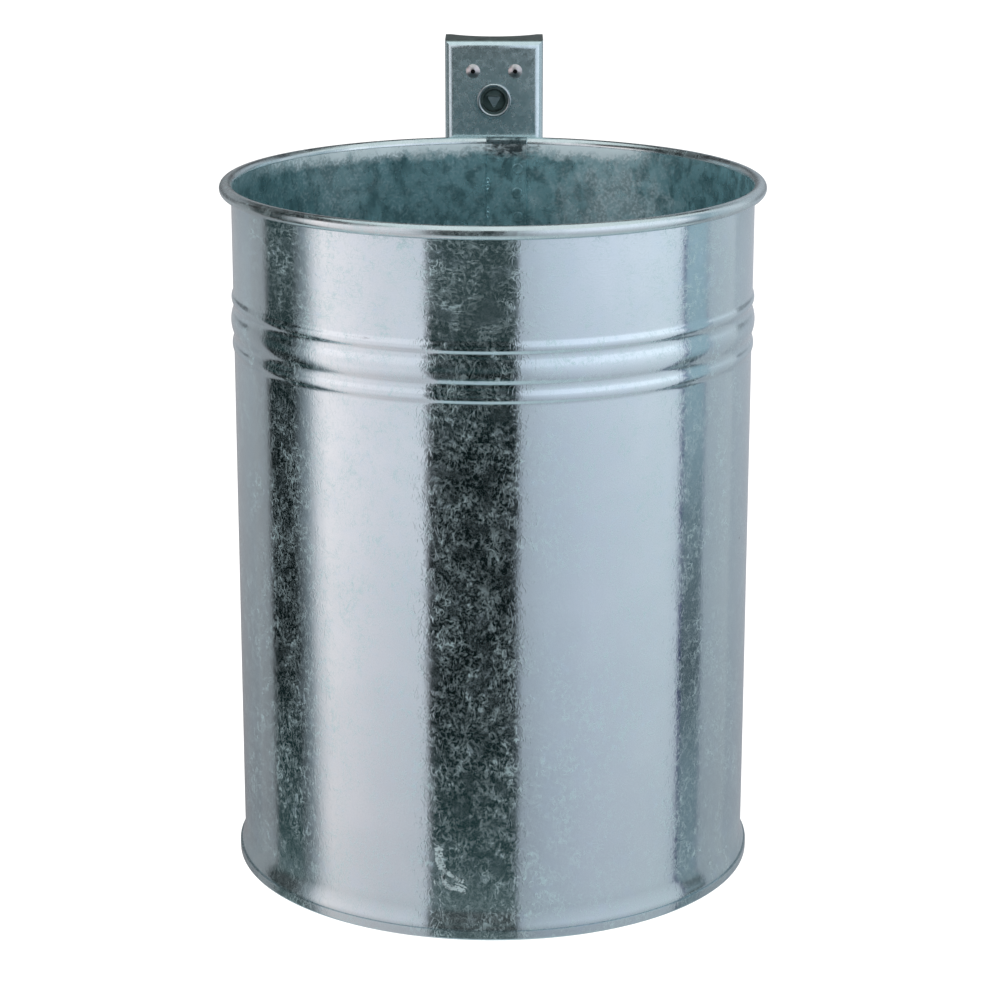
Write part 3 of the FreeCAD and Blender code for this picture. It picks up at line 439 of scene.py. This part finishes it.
NODE_FINISH = {
    "wall_rail": FRAME_ZINC, "lock_keeper": BRIGHT_ZINC, "keeper_rivets": ALUMINIUM,
    "rim_wire": STEEL, "bottom_plate": CAN_ZINC, "upper_saddle": FRAME_ZINC,
    "lower_saddle": FRAME_ZINC, "weld_studs": BRIGHT_ZINC, "stud_washers": BRIGHT_ZINC,
    "stud_nuts": BRIGHT_ZINC, "hanger_channel": HANGER_ZINC, "hook_plate": BRIGHT_ZINC,
    "hook_rivets": ALUMINIUM, "lock_housing": NICKEL, "lock_gasket": RUBBER,
    "lock_nut": BRIGHT_ZINC, "lock_spindle": NICKEL, "lock_tongue": BRIGHT_ZINC,
    "tongue_washer": BRIGHT_ZINC, "tongue_screw": BRIGHT_ZINC,
}
WELD_REACH = 0.000002
NODE_SHARP = 32.0            # degrees
WALL_SHARP = 35.0


def sharpened(piece, angle):
    """Keeps edges sharp that turn by more than the angle."""
    piece.modifiers.new("split", "EDGE_SPLIT").split_angle = math.radians(angle)


def finish_node(name, material):
    """CAD piece with its own finish and smooth curved faces."""
    node = nodes[name]
    node.data.materials.clear()
    node.data.materials.append(material)
    node.data.polygons.foreach_set("use_smooth", [True] * len(node.data.polygons))
    node.modifiers.new("weld", "WELD").merge_threshold = WELD_REACH
    sharpened(node, NODE_SHARP)


def shaded(name, material, chosen):
    """Second material on the faces of a CAD piece whose middle is chosen; here it paints shade, and a
    dark reflection on the hanger's flange.
    """
    data = nodes[name].data
    data.materials.append(material)
    for polygon in data.polygons:
        if chosen(polygon.center / MM):
            polygon.material_index = 1


def off_axis(spot, x, z):
    """Distance of a spot from an axis that runs to the back."""
    return math.hypot(spot.x - x, spot.z - z)


for node_name, finish in NODE_FINISH.items():
    finish_node(node_name, finish)
# Painted shade in the hollows of the rivets
shaded("hook_rivets", RIVET_HOLLOW_SHADE,
       lambda c: min(off_axis(c, x, z) for x, z in RIVET_PLACES) < RIVET_HOLLOW_R)
# Painted shade in the lock's recess and on the spindle's collar behind the nose
shaded("lock_housing", LOCK_RECESS_PAINTED_SHADE,
       lambda c: off_axis(c, 0, LOCK_Z) < RECESS_R and c.y > RECESS_FRONT_Y)
shaded("lock_spindle", LOCK_RECESS_PAINTED_SHADE, lambda c: c.y > NOSE_FOOT_Y)
# Painted dark reflection on the hanger's top flange
shaded("hanger_channel", FLANGE_PAINTED_REFLECTION, lambda c: c.z > FLANGE_Z)
# The bottom's inner face gets the inside's painted shade
shaded("bottom_plate", INSIDE_ZINC_PAINTED_SHADE, lambda c: math.hypot(c.x, c.y - CAN_Y) < WALL_R - HEM_WIDTH)


# Can wall
FLARE_ROWS = (0.75, 1.5)     # distance between rows on the outer and the inner side
BEAD_ROWS = (24, 12)         # rows in a bead
PLAIN_ROW = 6.0
COLUMNS = 360
LAP_COLUMNS = (-0.0045, -0.0022, -0.0011, 0.0011, 0.0022, 0.0045)   # radians from a lap's edge
ROLL_POINTS, HIDDEN_POINTS = 48, 14
WAVE_TOP_Z, WAVE_FADE, WAVE_BEAD_FADE = 60.0, 25.0, 20.0
WAVE_ROUND, WAVE_UP = 2.4, 0.008                # ripples round the wall and along it
WAVE_OUT, RIPPLE_OUT, RIPPLE_RATIO = 0.10, 0.03, 3.1
BACK_TURN, FRONT_TURN = 0.5 * math.pi, 1.5 * math.pi
CORNER_POWER, STEP_POWER = 5, 4                 # of the roll where the lap ends in it
WELD_PATCH_IN = 0.8          # the lap's finish on the roll starts this far inside its middle line


def arc_points(centre, radius, start, end, count):
    """Points of an arc in the (radius, height) plane, angles in degrees, both ends included."""
    angles = [math.radians(start + (end - start) * k / count) for k in range(count + 1)]
    return [(centre[0] + radius * math.cos(a), centre[1] + radius * math.sin(a)) for a in angles]


def eased(run, full, fillet, height):
    """Two tangent arcs: a hollow one over the fillet's run, then a round one up to full height."""
    slope = 2 * math.atan2(height, full)
    hollow = fillet / math.sin(slope)
    crest = (full - fillet) / math.sin(slope)
    if run < fillet:
        return hollow - math.sqrt(max(hollow * hollow - run * run, 0.0))
    left = full - run
    return height - (crest - math.sqrt(max(crest * crest - left * left, 0.0)))


def bead_out(z):
    """How far the wall stands out at height z, for the beads and the foot's flare."""
    for top, span, height in BEADS:
        if top - span < z < top:
            run = min(top - z, z - top + span)
            return eased(run, span / 2, min(BEAD_FILLET, span / 4), height)
    if z < FLARE_Z:
        return eased(min(FLARE_Z - z, FLARE_RUN), FLARE_RUN, FLARE_FILLET, FLARE_OUT)
    return 0.0


def rows_down(top, bottom, size):
    """Heights from top down to above bottom."""
    heights = []
    while top > bottom:
        heights.append(round(top, 4))
        top -= size
    return heights


def wall_heights(side):
    """Rows of the wall from the rim down; the outer side, 0, has finer ones than the inner one, 1."""
    heights = {CURL_Z, FLARE_Z, EDGE_Z}
    heights.update(rows_down(FLARE_Z, EDGE_Z, FLARE_ROWS[side]))
    count = BEAD_ROWS[side]
    for top, span, _ in BEADS:
        heights.update(round(top - span * k / count, 4) for k in range(count + 1))
    heights.update(rows_down(CURL_Z, FLARE_Z, PLAIN_ROW))
    return sorted(heights, reverse=True)


def unevenness(angle, z):
    """Slight flats and ripples of rolled sheet, in millimetres; none at the beads, rim and foot."""
    fade = min(1.0, max(0.0, (WAVE_TOP_Z - z) / WAVE_FADE), max(0.0, (z - FLARE_Z) / WAVE_FADE))
    for top, span, _ in BEADS:
        fade = min(fade, max(0.0, max(z - top, top - span - z) / WAVE_BEAD_FADE))
    spot = Vector((math.cos(angle) * WAVE_ROUND, math.sin(angle) * WAVE_ROUND, z * WAVE_UP))
    ripples = RIPPLE_OUT * noise.noise(spot * RIPPLE_RATIO)
    return fade * (WAVE_OUT * noise.noise(spot) + ripples)


def can_angles():
    """Directions of the wall's columns; 90 degrees is the back.  They crowd at the lap's edges."""
    found = {2 * math.pi * k / COLUMNS for k in range(COLUMNS)}
    for x in LAP_EDGES:
        edge = BACK_TURN - math.asin(x / LAP_R)
        found.update(edge + shift for shift in LAP_COLUMNS)
    return sorted(found)


def lap_here(angle):
    """1 on the second layer of sheet, 0 off it, with rounded edges."""
    x = LAP_R * math.cos(angle)
    if math.sin(angle) < 0:
        return 0.0
    inside = min(x - LAP_EDGES[0], LAP_EDGES[1] - x)
    return min(1.0, max(0.0, inside / LAP_ROUND + 0.5))


def on_can(mesh, radius, angle, z):
    """New point at a radius, direction and height in millimetres."""
    return mesh.verts.new((radius * MM * math.cos(angle), radius * MM * math.sin(angle), z * MM))


def placed(name, mesh):
    """Object of the can, with the origin on its axis."""
    bmesh.ops.recalc_face_normals(mesh, faces=mesh.faces)
    data = bpy.data.meshes.new(name)
    mesh.to_mesh(data)
    mesh.free()
    piece = bpy.data.objects.new(name, data)
    piece.location = CAN_AXIS
    bpy.context.scene.collection.objects.link(piece)
    return piece


def revolved(name, profile, angles, shape, finish_of):
    """Closed ring from a closed (radius, height, tag) profile; shape moves single points."""
    mesh = bmesh.new()
    rows = []
    for angle in angles:
        column = []
        for radius, z, tag in profile:
            radius, z = shape(angle, radius, z, tag)
            column.append(on_can(mesh, radius, angle, z))
        rows.append(column)
    for k, column in enumerate(rows):
        following = rows[(k + 1) % len(rows)]
        for i in range(len(profile)):
            j = (i + 1) % len(profile)
            face = mesh.faces.new((column[i], column[j], following[j], following[i]))
            face.smooth = True
            face.material_index = finish_of(angles[k], *profile[i])
    return placed(name, mesh)


def squared(radius, z, amount):
    """Pulls the rim's inner upper quarter out to a square corner, where the lap ends in the roll."""
    across, up = radius - CURL_R, z - CURL_Z
    if across >= 0 or up <= 0:
        return radius, z
    c, s = -across / CURL_OUTER, up / CURL_OUTER
    corner = (c ** CORNER_POWER + s ** CORNER_POWER) ** (-1 / CORNER_POWER)
    grow = 1 + amount * (corner - 1)
    pulled = CURL_R - CURL_OUTER * c * grow - SHEET * amount * (1 - s ** STEP_POWER)
    return pulled, CURL_Z + CURL_OUTER * s * grow


def can_wall():
    """The can's sheet, from its foot up the outside, round the rim's roll and down the inside."""
    curl = (CURL_R, CURL_Z)
    profile = [(WALL_R + bead_out(z), z, "outer") for z in reversed(wall_heights(0))]
    profile += [(r, z, "hidden")
                for r, z in arc_points(curl, CURL_INNER, 180, CURL_END, HIDDEN_POINTS)[1:]]
    profile += [(r, z, "roll")
                for r, z in arc_points(curl, CURL_OUTER, CURL_END, 180, ROLL_POINTS)[:-1]]
    profile += [(WALL_R - SHEET + bead_out(z), z, "inner") for z in wall_heights(1)]

    def shape(angle, radius, z, tag):
        if tag == "hidden":
            return radius, z
        if tag == "roll":
            return squared(radius, z, lap_here(angle))
        radius += unevenness(angle, z)
        if tag == "inner" and z > LAP_FOOT_Z:
            radius -= SHEET * lap_here(angle)
        return radius, z

    def finish_of(angle, radius, z, tag):
        if tag == "inner":
            return 1
        if tag == "roll":
            on_lap = radius < CURL_R - WELD_PATCH_IN and z > CURL_Z and lap_here(angle) > 0.5
            return 2 if on_lap else 3
        return 0

    wall = revolved("can_wall", profile, can_angles(), shape, finish_of)
    for material in (CAN_ZINC, INSIDE_ZINC_PAINTED_SHADE, WELD_ZINC, RIM_ZINC):
        wall.data.materials.append(material)
    sharpened(wall, WALL_SHARP)
    return wall


# Weld marks: the rings of a mark from its edge in, and their levels
MARK_RINGS = ((1.0, -0.3), (0.93, 0.35), (0.84, 0.9), (0.74, 1.0), (0.62, 0.75), (0.5, 0.4),
              (0.3, 0.25), (0.1, 0.3))
MARK_POINTS = 24
WELD_COUNT, WELD_TOP_Z, WELD_PITCH = 24, 49.0, 16.5
WELD_X, WELD_SIZE, WELD_HEIGHT = 16.0, (7.6, 8.0), 0.16
WELD_STRAY, WELD_STRAY_RATE = 0.6, 1.7
DROP_HEIGHTS = (41.0, 36.5, 21.0, 17.5, -14.0, -71.0, -118.0, -196.0, -251.0, -303.0)
DROP_IN, DROP_SIZE, DROP_HEIGHT = 0.9, (2.6, 4.6), 0.5
DROP_STRAY, DROP_STRAY_RATE = 1.5, 0.37


def dimple(mesh, across, z, size, height):
    """Round weld mark on the lap's inner face: a low ring with a flat middle."""
    middle = BACK_TURN - across / LAP_R
    loops = []
    for ring, level in MARK_RINGS:
        loop = []
        for k in range(MARK_POINTS):
            a = 2 * math.pi * k / MARK_POINTS
            angle = middle - ring * size[0] / 2 * math.cos(a) / LAP_R
            up = z + ring * size[1] / 2 * math.sin(a)
            loop.append(on_can(mesh, LAP_R - height * level, angle, up))
        loops.append(loop)
    for outside, inside in zip(loops, loops[1:]):
        for k in range(MARK_POINTS):
            j = (k + 1) % MARK_POINTS
            mesh.faces.new((outside[k], outside[j], inside[j], inside[k])).smooth = True
    mesh.faces.new(loops[-1]).smooth = True


def lap_welds():
    """Row of spot welds down the lap, and drops of zinc along its free edge."""
    mesh = bmesh.new()
    for k in range(WELD_COUNT):
        x = WELD_X + WELD_STRAY * noise.noise(Vector((k * WELD_STRAY_RATE, 0, 0)))
        dimple(mesh, x, WELD_TOP_Z - WELD_PITCH * k, WELD_SIZE, WELD_HEIGHT)
    for z in DROP_HEIGHTS:
        tall = DROP_SIZE[1] + DROP_STRAY * noise.noise(Vector((z * DROP_STRAY_RATE, 1, 0)))
        dimple(mesh, LAP_EDGES[0] + DROP_IN, z, (DROP_SIZE[0], tall), DROP_HEIGHT)
    piece = placed("lap_welds", mesh)
    piece.data.materials.append(INSIDE_ZINC_PAINTED_SHADE)
    return piece


# Runs of zinc: points of (across, height) on the front, half the width, and the noise's place
ZINC_RUNS = (
    (((-33, -308), (-32.5, -312), (-32.3, -317), (-32, -321), (-29.5, -325), (-26, -328)), 3.0, 1),
    (((-31, -320), (-29.5, -325.5), (-25.7, -328.6), (-21.4, -331), (-17, -333), (-14, -335)),
     1.7, 5),
    (((-31, -324), (-29.3, -330), (-28.3, -335), (-25.7, -337.5), (-21.4, -337), (-17, -339),
      (-12, -344)), 2.0, 3),
    (((-26, -334.5), (-21, -334), (-16, -336.5), (-12, -338)), 0.9, 21),
    (((-35.5, -330), (-34.8, -335), (-35, -340)), 0.8, 9),
)
RUN_STEPS, RUN_ENDS, RUN_END_SIZE = 10, 5, 0.3
RUN_SHARES = [k / 4 for k in range(-4, 5)]      # points across a run
RUN_RAGGED, RUN_RAGGED_RATE = 0.9, 0.63
RUN_LUMPS, RUN_LUMP_RATES = (0.7, 0.9), (0.55, 1.6)
RUN_RISE, RUN_SUNK = 0.22, 0.08


def run(mesh, path, half, seed):
    """One low ragged ridge on the wall along (across, height) points; half is half its width."""
    path = [Vector(p) for p in path]
    points = []
    for a, b, c in zip(path, path[1:], path[2:]):
        for k in range(RUN_STEPS):
            t = k / RUN_STEPS
            points.append((a + b) / 2 * (1 - t) ** 2 + b * 2 * t * (1 - t) + (b + c) / 2 * t * t)
    last = len(points) - 1
    rows = []
    for k, point in enumerate(points):
        ahead = (points[min(k + 1, last)] - points[max(k - 1, 0)]).normalized()
        side = Vector((-ahead.y, ahead.x))
        ends = RUN_END_SIZE + (1 - RUN_END_SIZE) * min(1.0, min(k, last - k) / RUN_ENDS)
        row = []
        for share in RUN_SHARES:
            edge = seed + (2 if share > 0 else 0)
            ragged = 1 + RUN_RAGGED * noise.noise(Vector((k * RUN_RAGGED_RATE, edge, 0)))
            spot = point + side * share * half * ragged * ends
            lump = Vector((k * RUN_LUMP_RATES[0], seed, share * RUN_LUMP_RATES[1]))
            lump = RUN_LUMPS[0] + RUN_LUMPS[1] * noise.noise(lump)
            rise = RUN_RISE * lump * math.sqrt(max(1 - share * share, 0)) * ends
            radius = WALL_R + bead_out(spot.y) - RUN_SUNK + rise
            row.append(on_can(mesh, radius, FRONT_TURN + spot.x / WALL_R, spot.y))
        rows.append(row)
    for first, second in zip(rows, rows[1:]):
        for k in range(len(RUN_SHARES) - 1):
            mesh.faces.new((first[k], first[k + 1], second[k + 1], second[k])).smooth = True


def zinc_run():
    """Rough runs of zinc that set above the foot, left of the middle."""
    mesh = bmesh.new()
    for path, half, seed in ZINC_RUNS:
        run(mesh, path, half, seed)
    piece = placed("zinc_run", mesh)
    piece.data.materials.append(RUN_ZINC)
    return piece


shell = can_wall()
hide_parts("body_shell")
for piece in (shell, lap_welds(), zinc_run()):
    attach(piece, "can")

# Stage: pale floor, soft light, and a ring of cards that the bright sheet mirrors, in metres
CAMERA_PLACE = Vector((0.0082, -2.027, 0.3775))
CAMERA_AWAY = 1.868          # from the can's axis, for the shares below
OUTLINE_TURN = math.radians(84.9)   # wall directions that the camera sees, to both sides
HALVINGS = 50
RING = 0.95
RING_FOOT = -0.72
EDGE_SHARE = 0.93            # cards seen nearer the outline than this are the rear ones
SHARE_STEP, TURN_STEP, RISE_STEP = 0.02, 0.05, 0.0135
FLAG = (0.0, 0.0, 0.0)
NARROW_FLAG = (0.0, 0.0, 0.1)
# Share of the wall's half width where the camera sees this light mirrored, and the light there
FRONT_LIGHT = (
    (-0.93, (0.40, 0.38, 0.39)), (-0.882, (0.34, 0.32, 0.33)), (-0.86, FLAG), (-0.77, FLAG),
    (-0.72, (0.29, 0.30, 0.32)), (-0.68, (0.94, 0.81, 0.82)), (-0.645, (1.19, 0.98, 0.97)),
    (-0.58, (1.12, 0.93, 0.94)), (-0.45, (0.96, 0.82, 0.85)), (-0.267, (0.84, 0.76, 0.80)),
    (-0.24, FLAG), (0.095, FLAG), (0.115, (0.51, 0.50, 0.55)), (0.22, (0.62, 0.61, 0.68)),
    (0.40, (0.74, 0.71, 0.79)), (0.60, (0.80, 0.77, 0.83)), (0.69, (0.80, 0.78, 0.83)),
    (0.73, (0.73, 0.71, 0.77)), (0.745, NARROW_FLAG), (0.818, NARROW_FLAG),
    (0.835, (0.46, 0.47, 0.51)), (0.93, (0.53, 0.53, 0.56)),
)
LOW_TOP, HIGH_TOP = 0.77, 1.30
HIGH_SHARE = -0.50           # nearer the left outline than this the front card is higher
GREY_SHARE = -0.73           # nearer it than this the card gets dark lower down
# How bright a card is by height
LEFT_FOOT = ((-0.72, 0.80), (-0.41, 1.0), (-0.26, 1.10))
LEFT_MIDDLE = ((-0.12, 1.09), (0.02, 1.12), (0.15, 1.25))
LEFT_HEIGHTS = LEFT_FOOT + LEFT_MIDDLE + ((0.77, 1.25),)
HIGH_HEIGHTS = LEFT_FOOT + LEFT_MIDDLE + ((0.38, 1.25), (0.48, 0.12), (1.30, 0.10))
GREY_HEIGHTS = LEFT_FOOT + ((-0.06, 1.09), (0.20, 0.95), (0.28, 0.12), (1.30, 0.10))
RIGHT_HEIGHTS = ((-0.72, 0.78), (-0.41, 0.99), (-0.26, 1.08), (-0.12, 1.21), (0.02, 1.35),
                 (0.15, 1.62), (0.77, 1.62))
FLAG_TINT = (0.55, 1.0, 1.0)
FLAG_HEIGHTS = ((-0.72, 0.08), (-0.60, 0.04), (-0.50, 0.010), (-0.28, 0.010), (-0.20, 0.03),
                (-0.10, 0.05), (0.0, 0.04), (0.10, 0.02), (0.77, 0.02))
NARROW_TINT = (0.80, 1.0, 1.12)
NARROW_HEIGHTS = ((-0.72, 0.27), (-0.61, 0.26), (-0.50, 0.12), (-0.39, 0.19), (-0.26, 0.42),
                  (-0.12, 0.53), (0.77, 0.53))
LEFT_REAR_TINT = (1.02, 1.0, 1.05)
LEFT_REAR_FOOT = ((-0.72, 0.25), (-0.39, 0.37), (-0.14, 0.45), (-0.07, 0.38), (-0.02, 0.18),
                  (0.14, 0.14))
LEFT_REAR_HEIGHTS = LEFT_REAR_FOOT + ((0.26, 0.12), (0.40, 0.10), (0.55, 0.04), (1.30, 0.04))
LEFT_SIDE_HEIGHTS = LEFT_REAR_FOOT + ((0.24, 0.36), (0.44, 0.36), (0.60, 0.05), (1.30, 0.04))
RIGHT_REAR_TINT = (0.97, 1.0, 1.09)
RIGHT_REAR_HEIGHTS = ((-0.72, 0.38), (-0.39, 0.46), (-0.14, 0.54), (-0.07, 0.48), (-0.02, 0.34),
                      (0.10, 0.34), (0.22, 0.50), (0.50, 0.60), (0.80, 0.05), (1.30, 0.05))
# Where the rear card changes, in radians past the middle of the back, towards the left
LEFT_REAR_FADE = (-1 / 3, 0.0)
LEFT_SIDE_FADE = (0.08, 0.20)
# Below the ring the cards slope out to the ground, and the ground in between is paler
SKIRT = (1.55, -1.34)
SKIRT_STEPS = 4
GROUND_LIGHT = (0.56, 0.62, 0.65)
GROUND_INNER = 0.30
GROUND_TUCK, GROUND_DROP = 0.02, 0.001
FLOOR_Z = -1.35
FLOOR_SIZE, FLOOR_CELLS = 30, 40
FLOOR_SPECKS, FLOOR_TINTS = 40.0, ((0.90, 0.90, 0.90), (0.93, 0.93, 0.93))
FLOOR_ROUGH, FLOOR_GLOW = 0.9, 0.25
LAMP_TARGET = (0, -0.19, -0.2)
LAMP_SIZE = 2.4
LAMPS = (("lamp_left", (-3.2, -2.8, 3.0), 30), ("lamp_right", (3.2, -2.6, 2.6), 24))


def between(stops, value):
    """Straight line between stops of (position, number or colour)."""
    if value <= stops[0][0]:
        return stops[0][1]
    for (a, first), (b, second) in zip(stops, stops[1:]):
        if value <= b:
            t = (value - a) / (b - a)
            if isinstance(first, tuple):
                return tuple(p + (q - p) * t for p, q in zip(first, second))
            return first + (second - first) * t
    return stops[-1][1]


def steps(low, high, size):
    """Even steps of at most this size, both ends included."""
    count = math.ceil((high - low) / size)
    return [low + (high - low) * k / count for k in range(count + 1)]


def tinted(heights, z, tint):
    """Colour at a height."""
    return tuple(between(heights, z) * part for part in tint)


def mirrored(share):
    """Direction round the ring, from the front to the right, that the wall mirrors at this share."""
    radius = WALL_R * MM
    wanted = share * radius / math.sqrt(CAMERA_AWAY ** 2 - radius ** 2)
    low, high = -OUTLINE_TURN, OUTLINE_TURN
    for _ in range(HALVINGS):
        turn = (low + high) / 2
        if radius * math.sin(turn) / (CAMERA_AWAY - radius * math.cos(turn)) < wanted:
            low = turn
        else:
            high = turn
    normal = Vector((math.sin(turn), -math.cos(turn)))
    spot = normal * radius
    ray = (spot + CAN_AXIS.xy - CAMERA_PLACE.xy).normalized()
    ray -= normal * 2 * ray.dot(normal)
    reach = -spot.dot(ray) + math.sqrt(spot.dot(ray) ** 2 - spot.dot(spot) + RING ** 2)
    hit = spot + ray * reach
    return math.atan2(hit.x, -hit.y)


def front_light(share, z):
    """Colour of the front card at a share and height; z is None on the ground."""
    colour = between(FRONT_LIGHT, share)
    heights = LEFT_HEIGHTS if share < 0 else RIGHT_HEIGHTS
    if share < HIGH_SHARE:
        heights = GREY_HEIGHTS if share < GREY_SHARE else HIGH_HEIGHTS
    if z is None:
        foot = heights[0][1]
        return tuple(max(part * foot, ground) for part, ground in zip(colour, GROUND_LIGHT))
    if colour == FLAG:
        return tinted(FLAG_HEIGHTS, z, FLAG_TINT)
    if colour == NARROW_FLAG:
        return tinted(NARROW_HEIGHTS, z, NARROW_TINT)
    return tinted(heights, z, colour)


def faded(value, fade):
    """0 before the fade and 1 after it."""
    return min(1.0, max(0.0, (value - fade[0]) / (fade[1] - fade[0])))


def rear_light(turn, z):
    """Colour of the rear card in a direction and at a height; z is None on the ground."""
    if z is None:
        return GROUND_LIGHT
    left = faded(turn - math.pi, LEFT_REAR_FADE)
    side = faded(turn - math.pi, LEFT_SIDE_FADE)
    level = between(LEFT_REAR_HEIGHTS, z) * (1 - side) + between(LEFT_SIDE_HEIGHTS, z) * side
    right_part = tinted(RIGHT_REAR_HEIGHTS, z, RIGHT_REAR_TINT)
    left_part = [level * part for part in LEFT_REAR_TINT]
    return tuple(a * (1 - left) + b * left for a, b in zip(right_part, left_part))


def staged(name, mesh, material):
    """Object of the stage."""
    data = bpy.data.meshes.new(name)
    mesh.to_mesh(data)
    mesh.free()
    data.materials.append(material)
    piece = bpy.data.objects.new(name, data)
    bpy.context.scene.collection.objects.link(piece)
    return piece


def card(name, turns, light, top):
    """Curved card that only mirrors see.

    light gives a colour by column and height, and the ground's for no height; top is a column's
    upper end.
    """
    rises = steps(0.0, 1.0, RISE_STEP)[::-1]
    skirt = []
    for k in range(1, SKIRT_STEPS + 1):
        t = k / SKIRT_STEPS
        skirt.append((RING + (SKIRT[0] - RING) * t, RING_FOOT + (SKIRT[1] - RING_FOOT) * t, RING_FOOT))
    ground_z = SKIRT[1] - GROUND_DROP
    ground = [(SKIRT[0] - GROUND_TUCK, ground_z, None), (GROUND_INNER, ground_z, None)]
    mesh = bmesh.new()
    glow = mesh.verts.layers.float_color.new("glow")
    rows = []
    for k, turn in enumerate(turns):
        heights = [RING_FOOT + (top(k) - RING_FOOT) * rise for rise in rises]
        row = []
        for radius, z, height in [(RING, z, z) for z in heights] + skirt + ground:
            x, y = radius * math.sin(turn), CAN_Y * MM - radius * math.cos(turn)
            vert = mesh.verts.new((x, y, z))
            vert[glow] = (*light(k, height), 1)
            row.append(vert)
        rows.append(row)
    for first, second in zip(rows, rows[1:]):
        for k in range(len(first) - 1):
            mesh.faces.new((first[k], second[k], second[k + 1], first[k + 1]))
    material, tree = new_material(name)
    colour = add(tree, "ShaderNodeAttribute", attribute_name="glow").outputs["Color"]
    emission = add(tree, "ShaderNodeEmission", {"Color": colour, "Strength": 1.0})
    add(tree, "ShaderNodeOutputMaterial", {"Surface": emission.outputs["Emission"]})
    ring = staged(name, mesh, material)
    ring.visible_camera = False
    ring.visible_diffuse = False
    ring.visible_shadow = False


def floor():
    """Pale floor far below the hanging bin."""
    mesh = bmesh.new()
    bmesh.ops.create_grid(mesh, x_segments=FLOOR_CELLS, y_segments=FLOOR_CELLS, size=FLOOR_SIZE)
    material, tree = new_material("floor_paint")
    tint = mixed(tree, cloud(tree, place(tree), FLOOR_SPECKS), *FLOOR_TINTS)
    surface(tree, Base_Color=tint, Roughness=FLOOR_ROUGH, Emission_Color=(1, 1, 1, 1),
            Emission_Strength=FLOOR_GLOW)
    ground = staged("floor", mesh, material)
    ground.location = (0, 0, FLOOR_Z)


def lamp(name, location, power):
    """Soft square lamp that mirrors don't see."""
    data = bpy.data.lights.new(name, "AREA")
    data.shape = "RECTANGLE"
    data.size = data.size_y = LAMP_SIZE
    data.energy = power
    light = bpy.data.objects.new(name, data)
    light.location = location
    towards = Vector(LAMP_TARGET) - Vector(location)
    light.rotation_euler = towards.to_track_quat("-Z", "Y").to_euler()
    light.visible_glossy = False
    bpy.context.scene.collection.objects.link(light)


shares = sorted(set(steps(-EDGE_SHARE, EDGE_SHARE, SHARE_STEP)) | {stop[0] for stop in FRONT_LIGHT})
card("card_front", [mirrored(u) for u in shares], lambda k, z: front_light(shares[k], z),
     lambda k: HIGH_TOP if shares[k] < HIGH_SHARE else LOW_TOP)
turns = steps(mirrored(EDGE_SHARE), 2 * math.pi + mirrored(-EDGE_SHARE), TURN_STEP)
card("card_rear", turns, lambda k, z: rear_light(turns[k], z), lambda k: HIGH_TOP)
floor()

for lamp_name, lamp_place, lamp_power in LAMPS:
    lamp(lamp_name, lamp_place, lamp_power)

world = bpy.data.worlds.new("studio")
bpy.context.scene.world = world
world.use_nodes = True
sky = world.node_tree.nodes["Background"]
sky.inputs["Color"].default_value = (1, 1, 1, 1)
sky.inputs["Strength"].default_value = 1.0

# Camera at the photograph's viewing angle; angles in radians
PITCH, YAW = 0.2709, -0.0046
FOCAL_PIXELS, IMAGE_PIXELS = 2984.0, 985.0
SENSOR = 36.0
CAMERA_REACH = 200
camera_data = bpy.data.cameras.new("camera")
camera_data.lens = FOCAL_PIXELS / IMAGE_PIXELS * SENSOR
camera_data.sensor_width = SENSOR
camera_data.clip_end = CAMERA_REACH
camera = bpy.data.objects.new("camera", camera_data)
bpy.context.scene.collection.objects.link(camera)
camera.location = CAMERA_PLACE
ahead = Vector((math.sin(YAW) * math.cos(PITCH), math.cos(YAW) * math.cos(PITCH), -math.sin(PITCH)))
camera.rotation_mode = "QUATERNION"
camera.rotation_quaternion = ahead.to_track_quat("-Z", "Y")
bpy.context.scene.camera = camera
bpy.context.scene.view_settings.view_transform = "Standard"
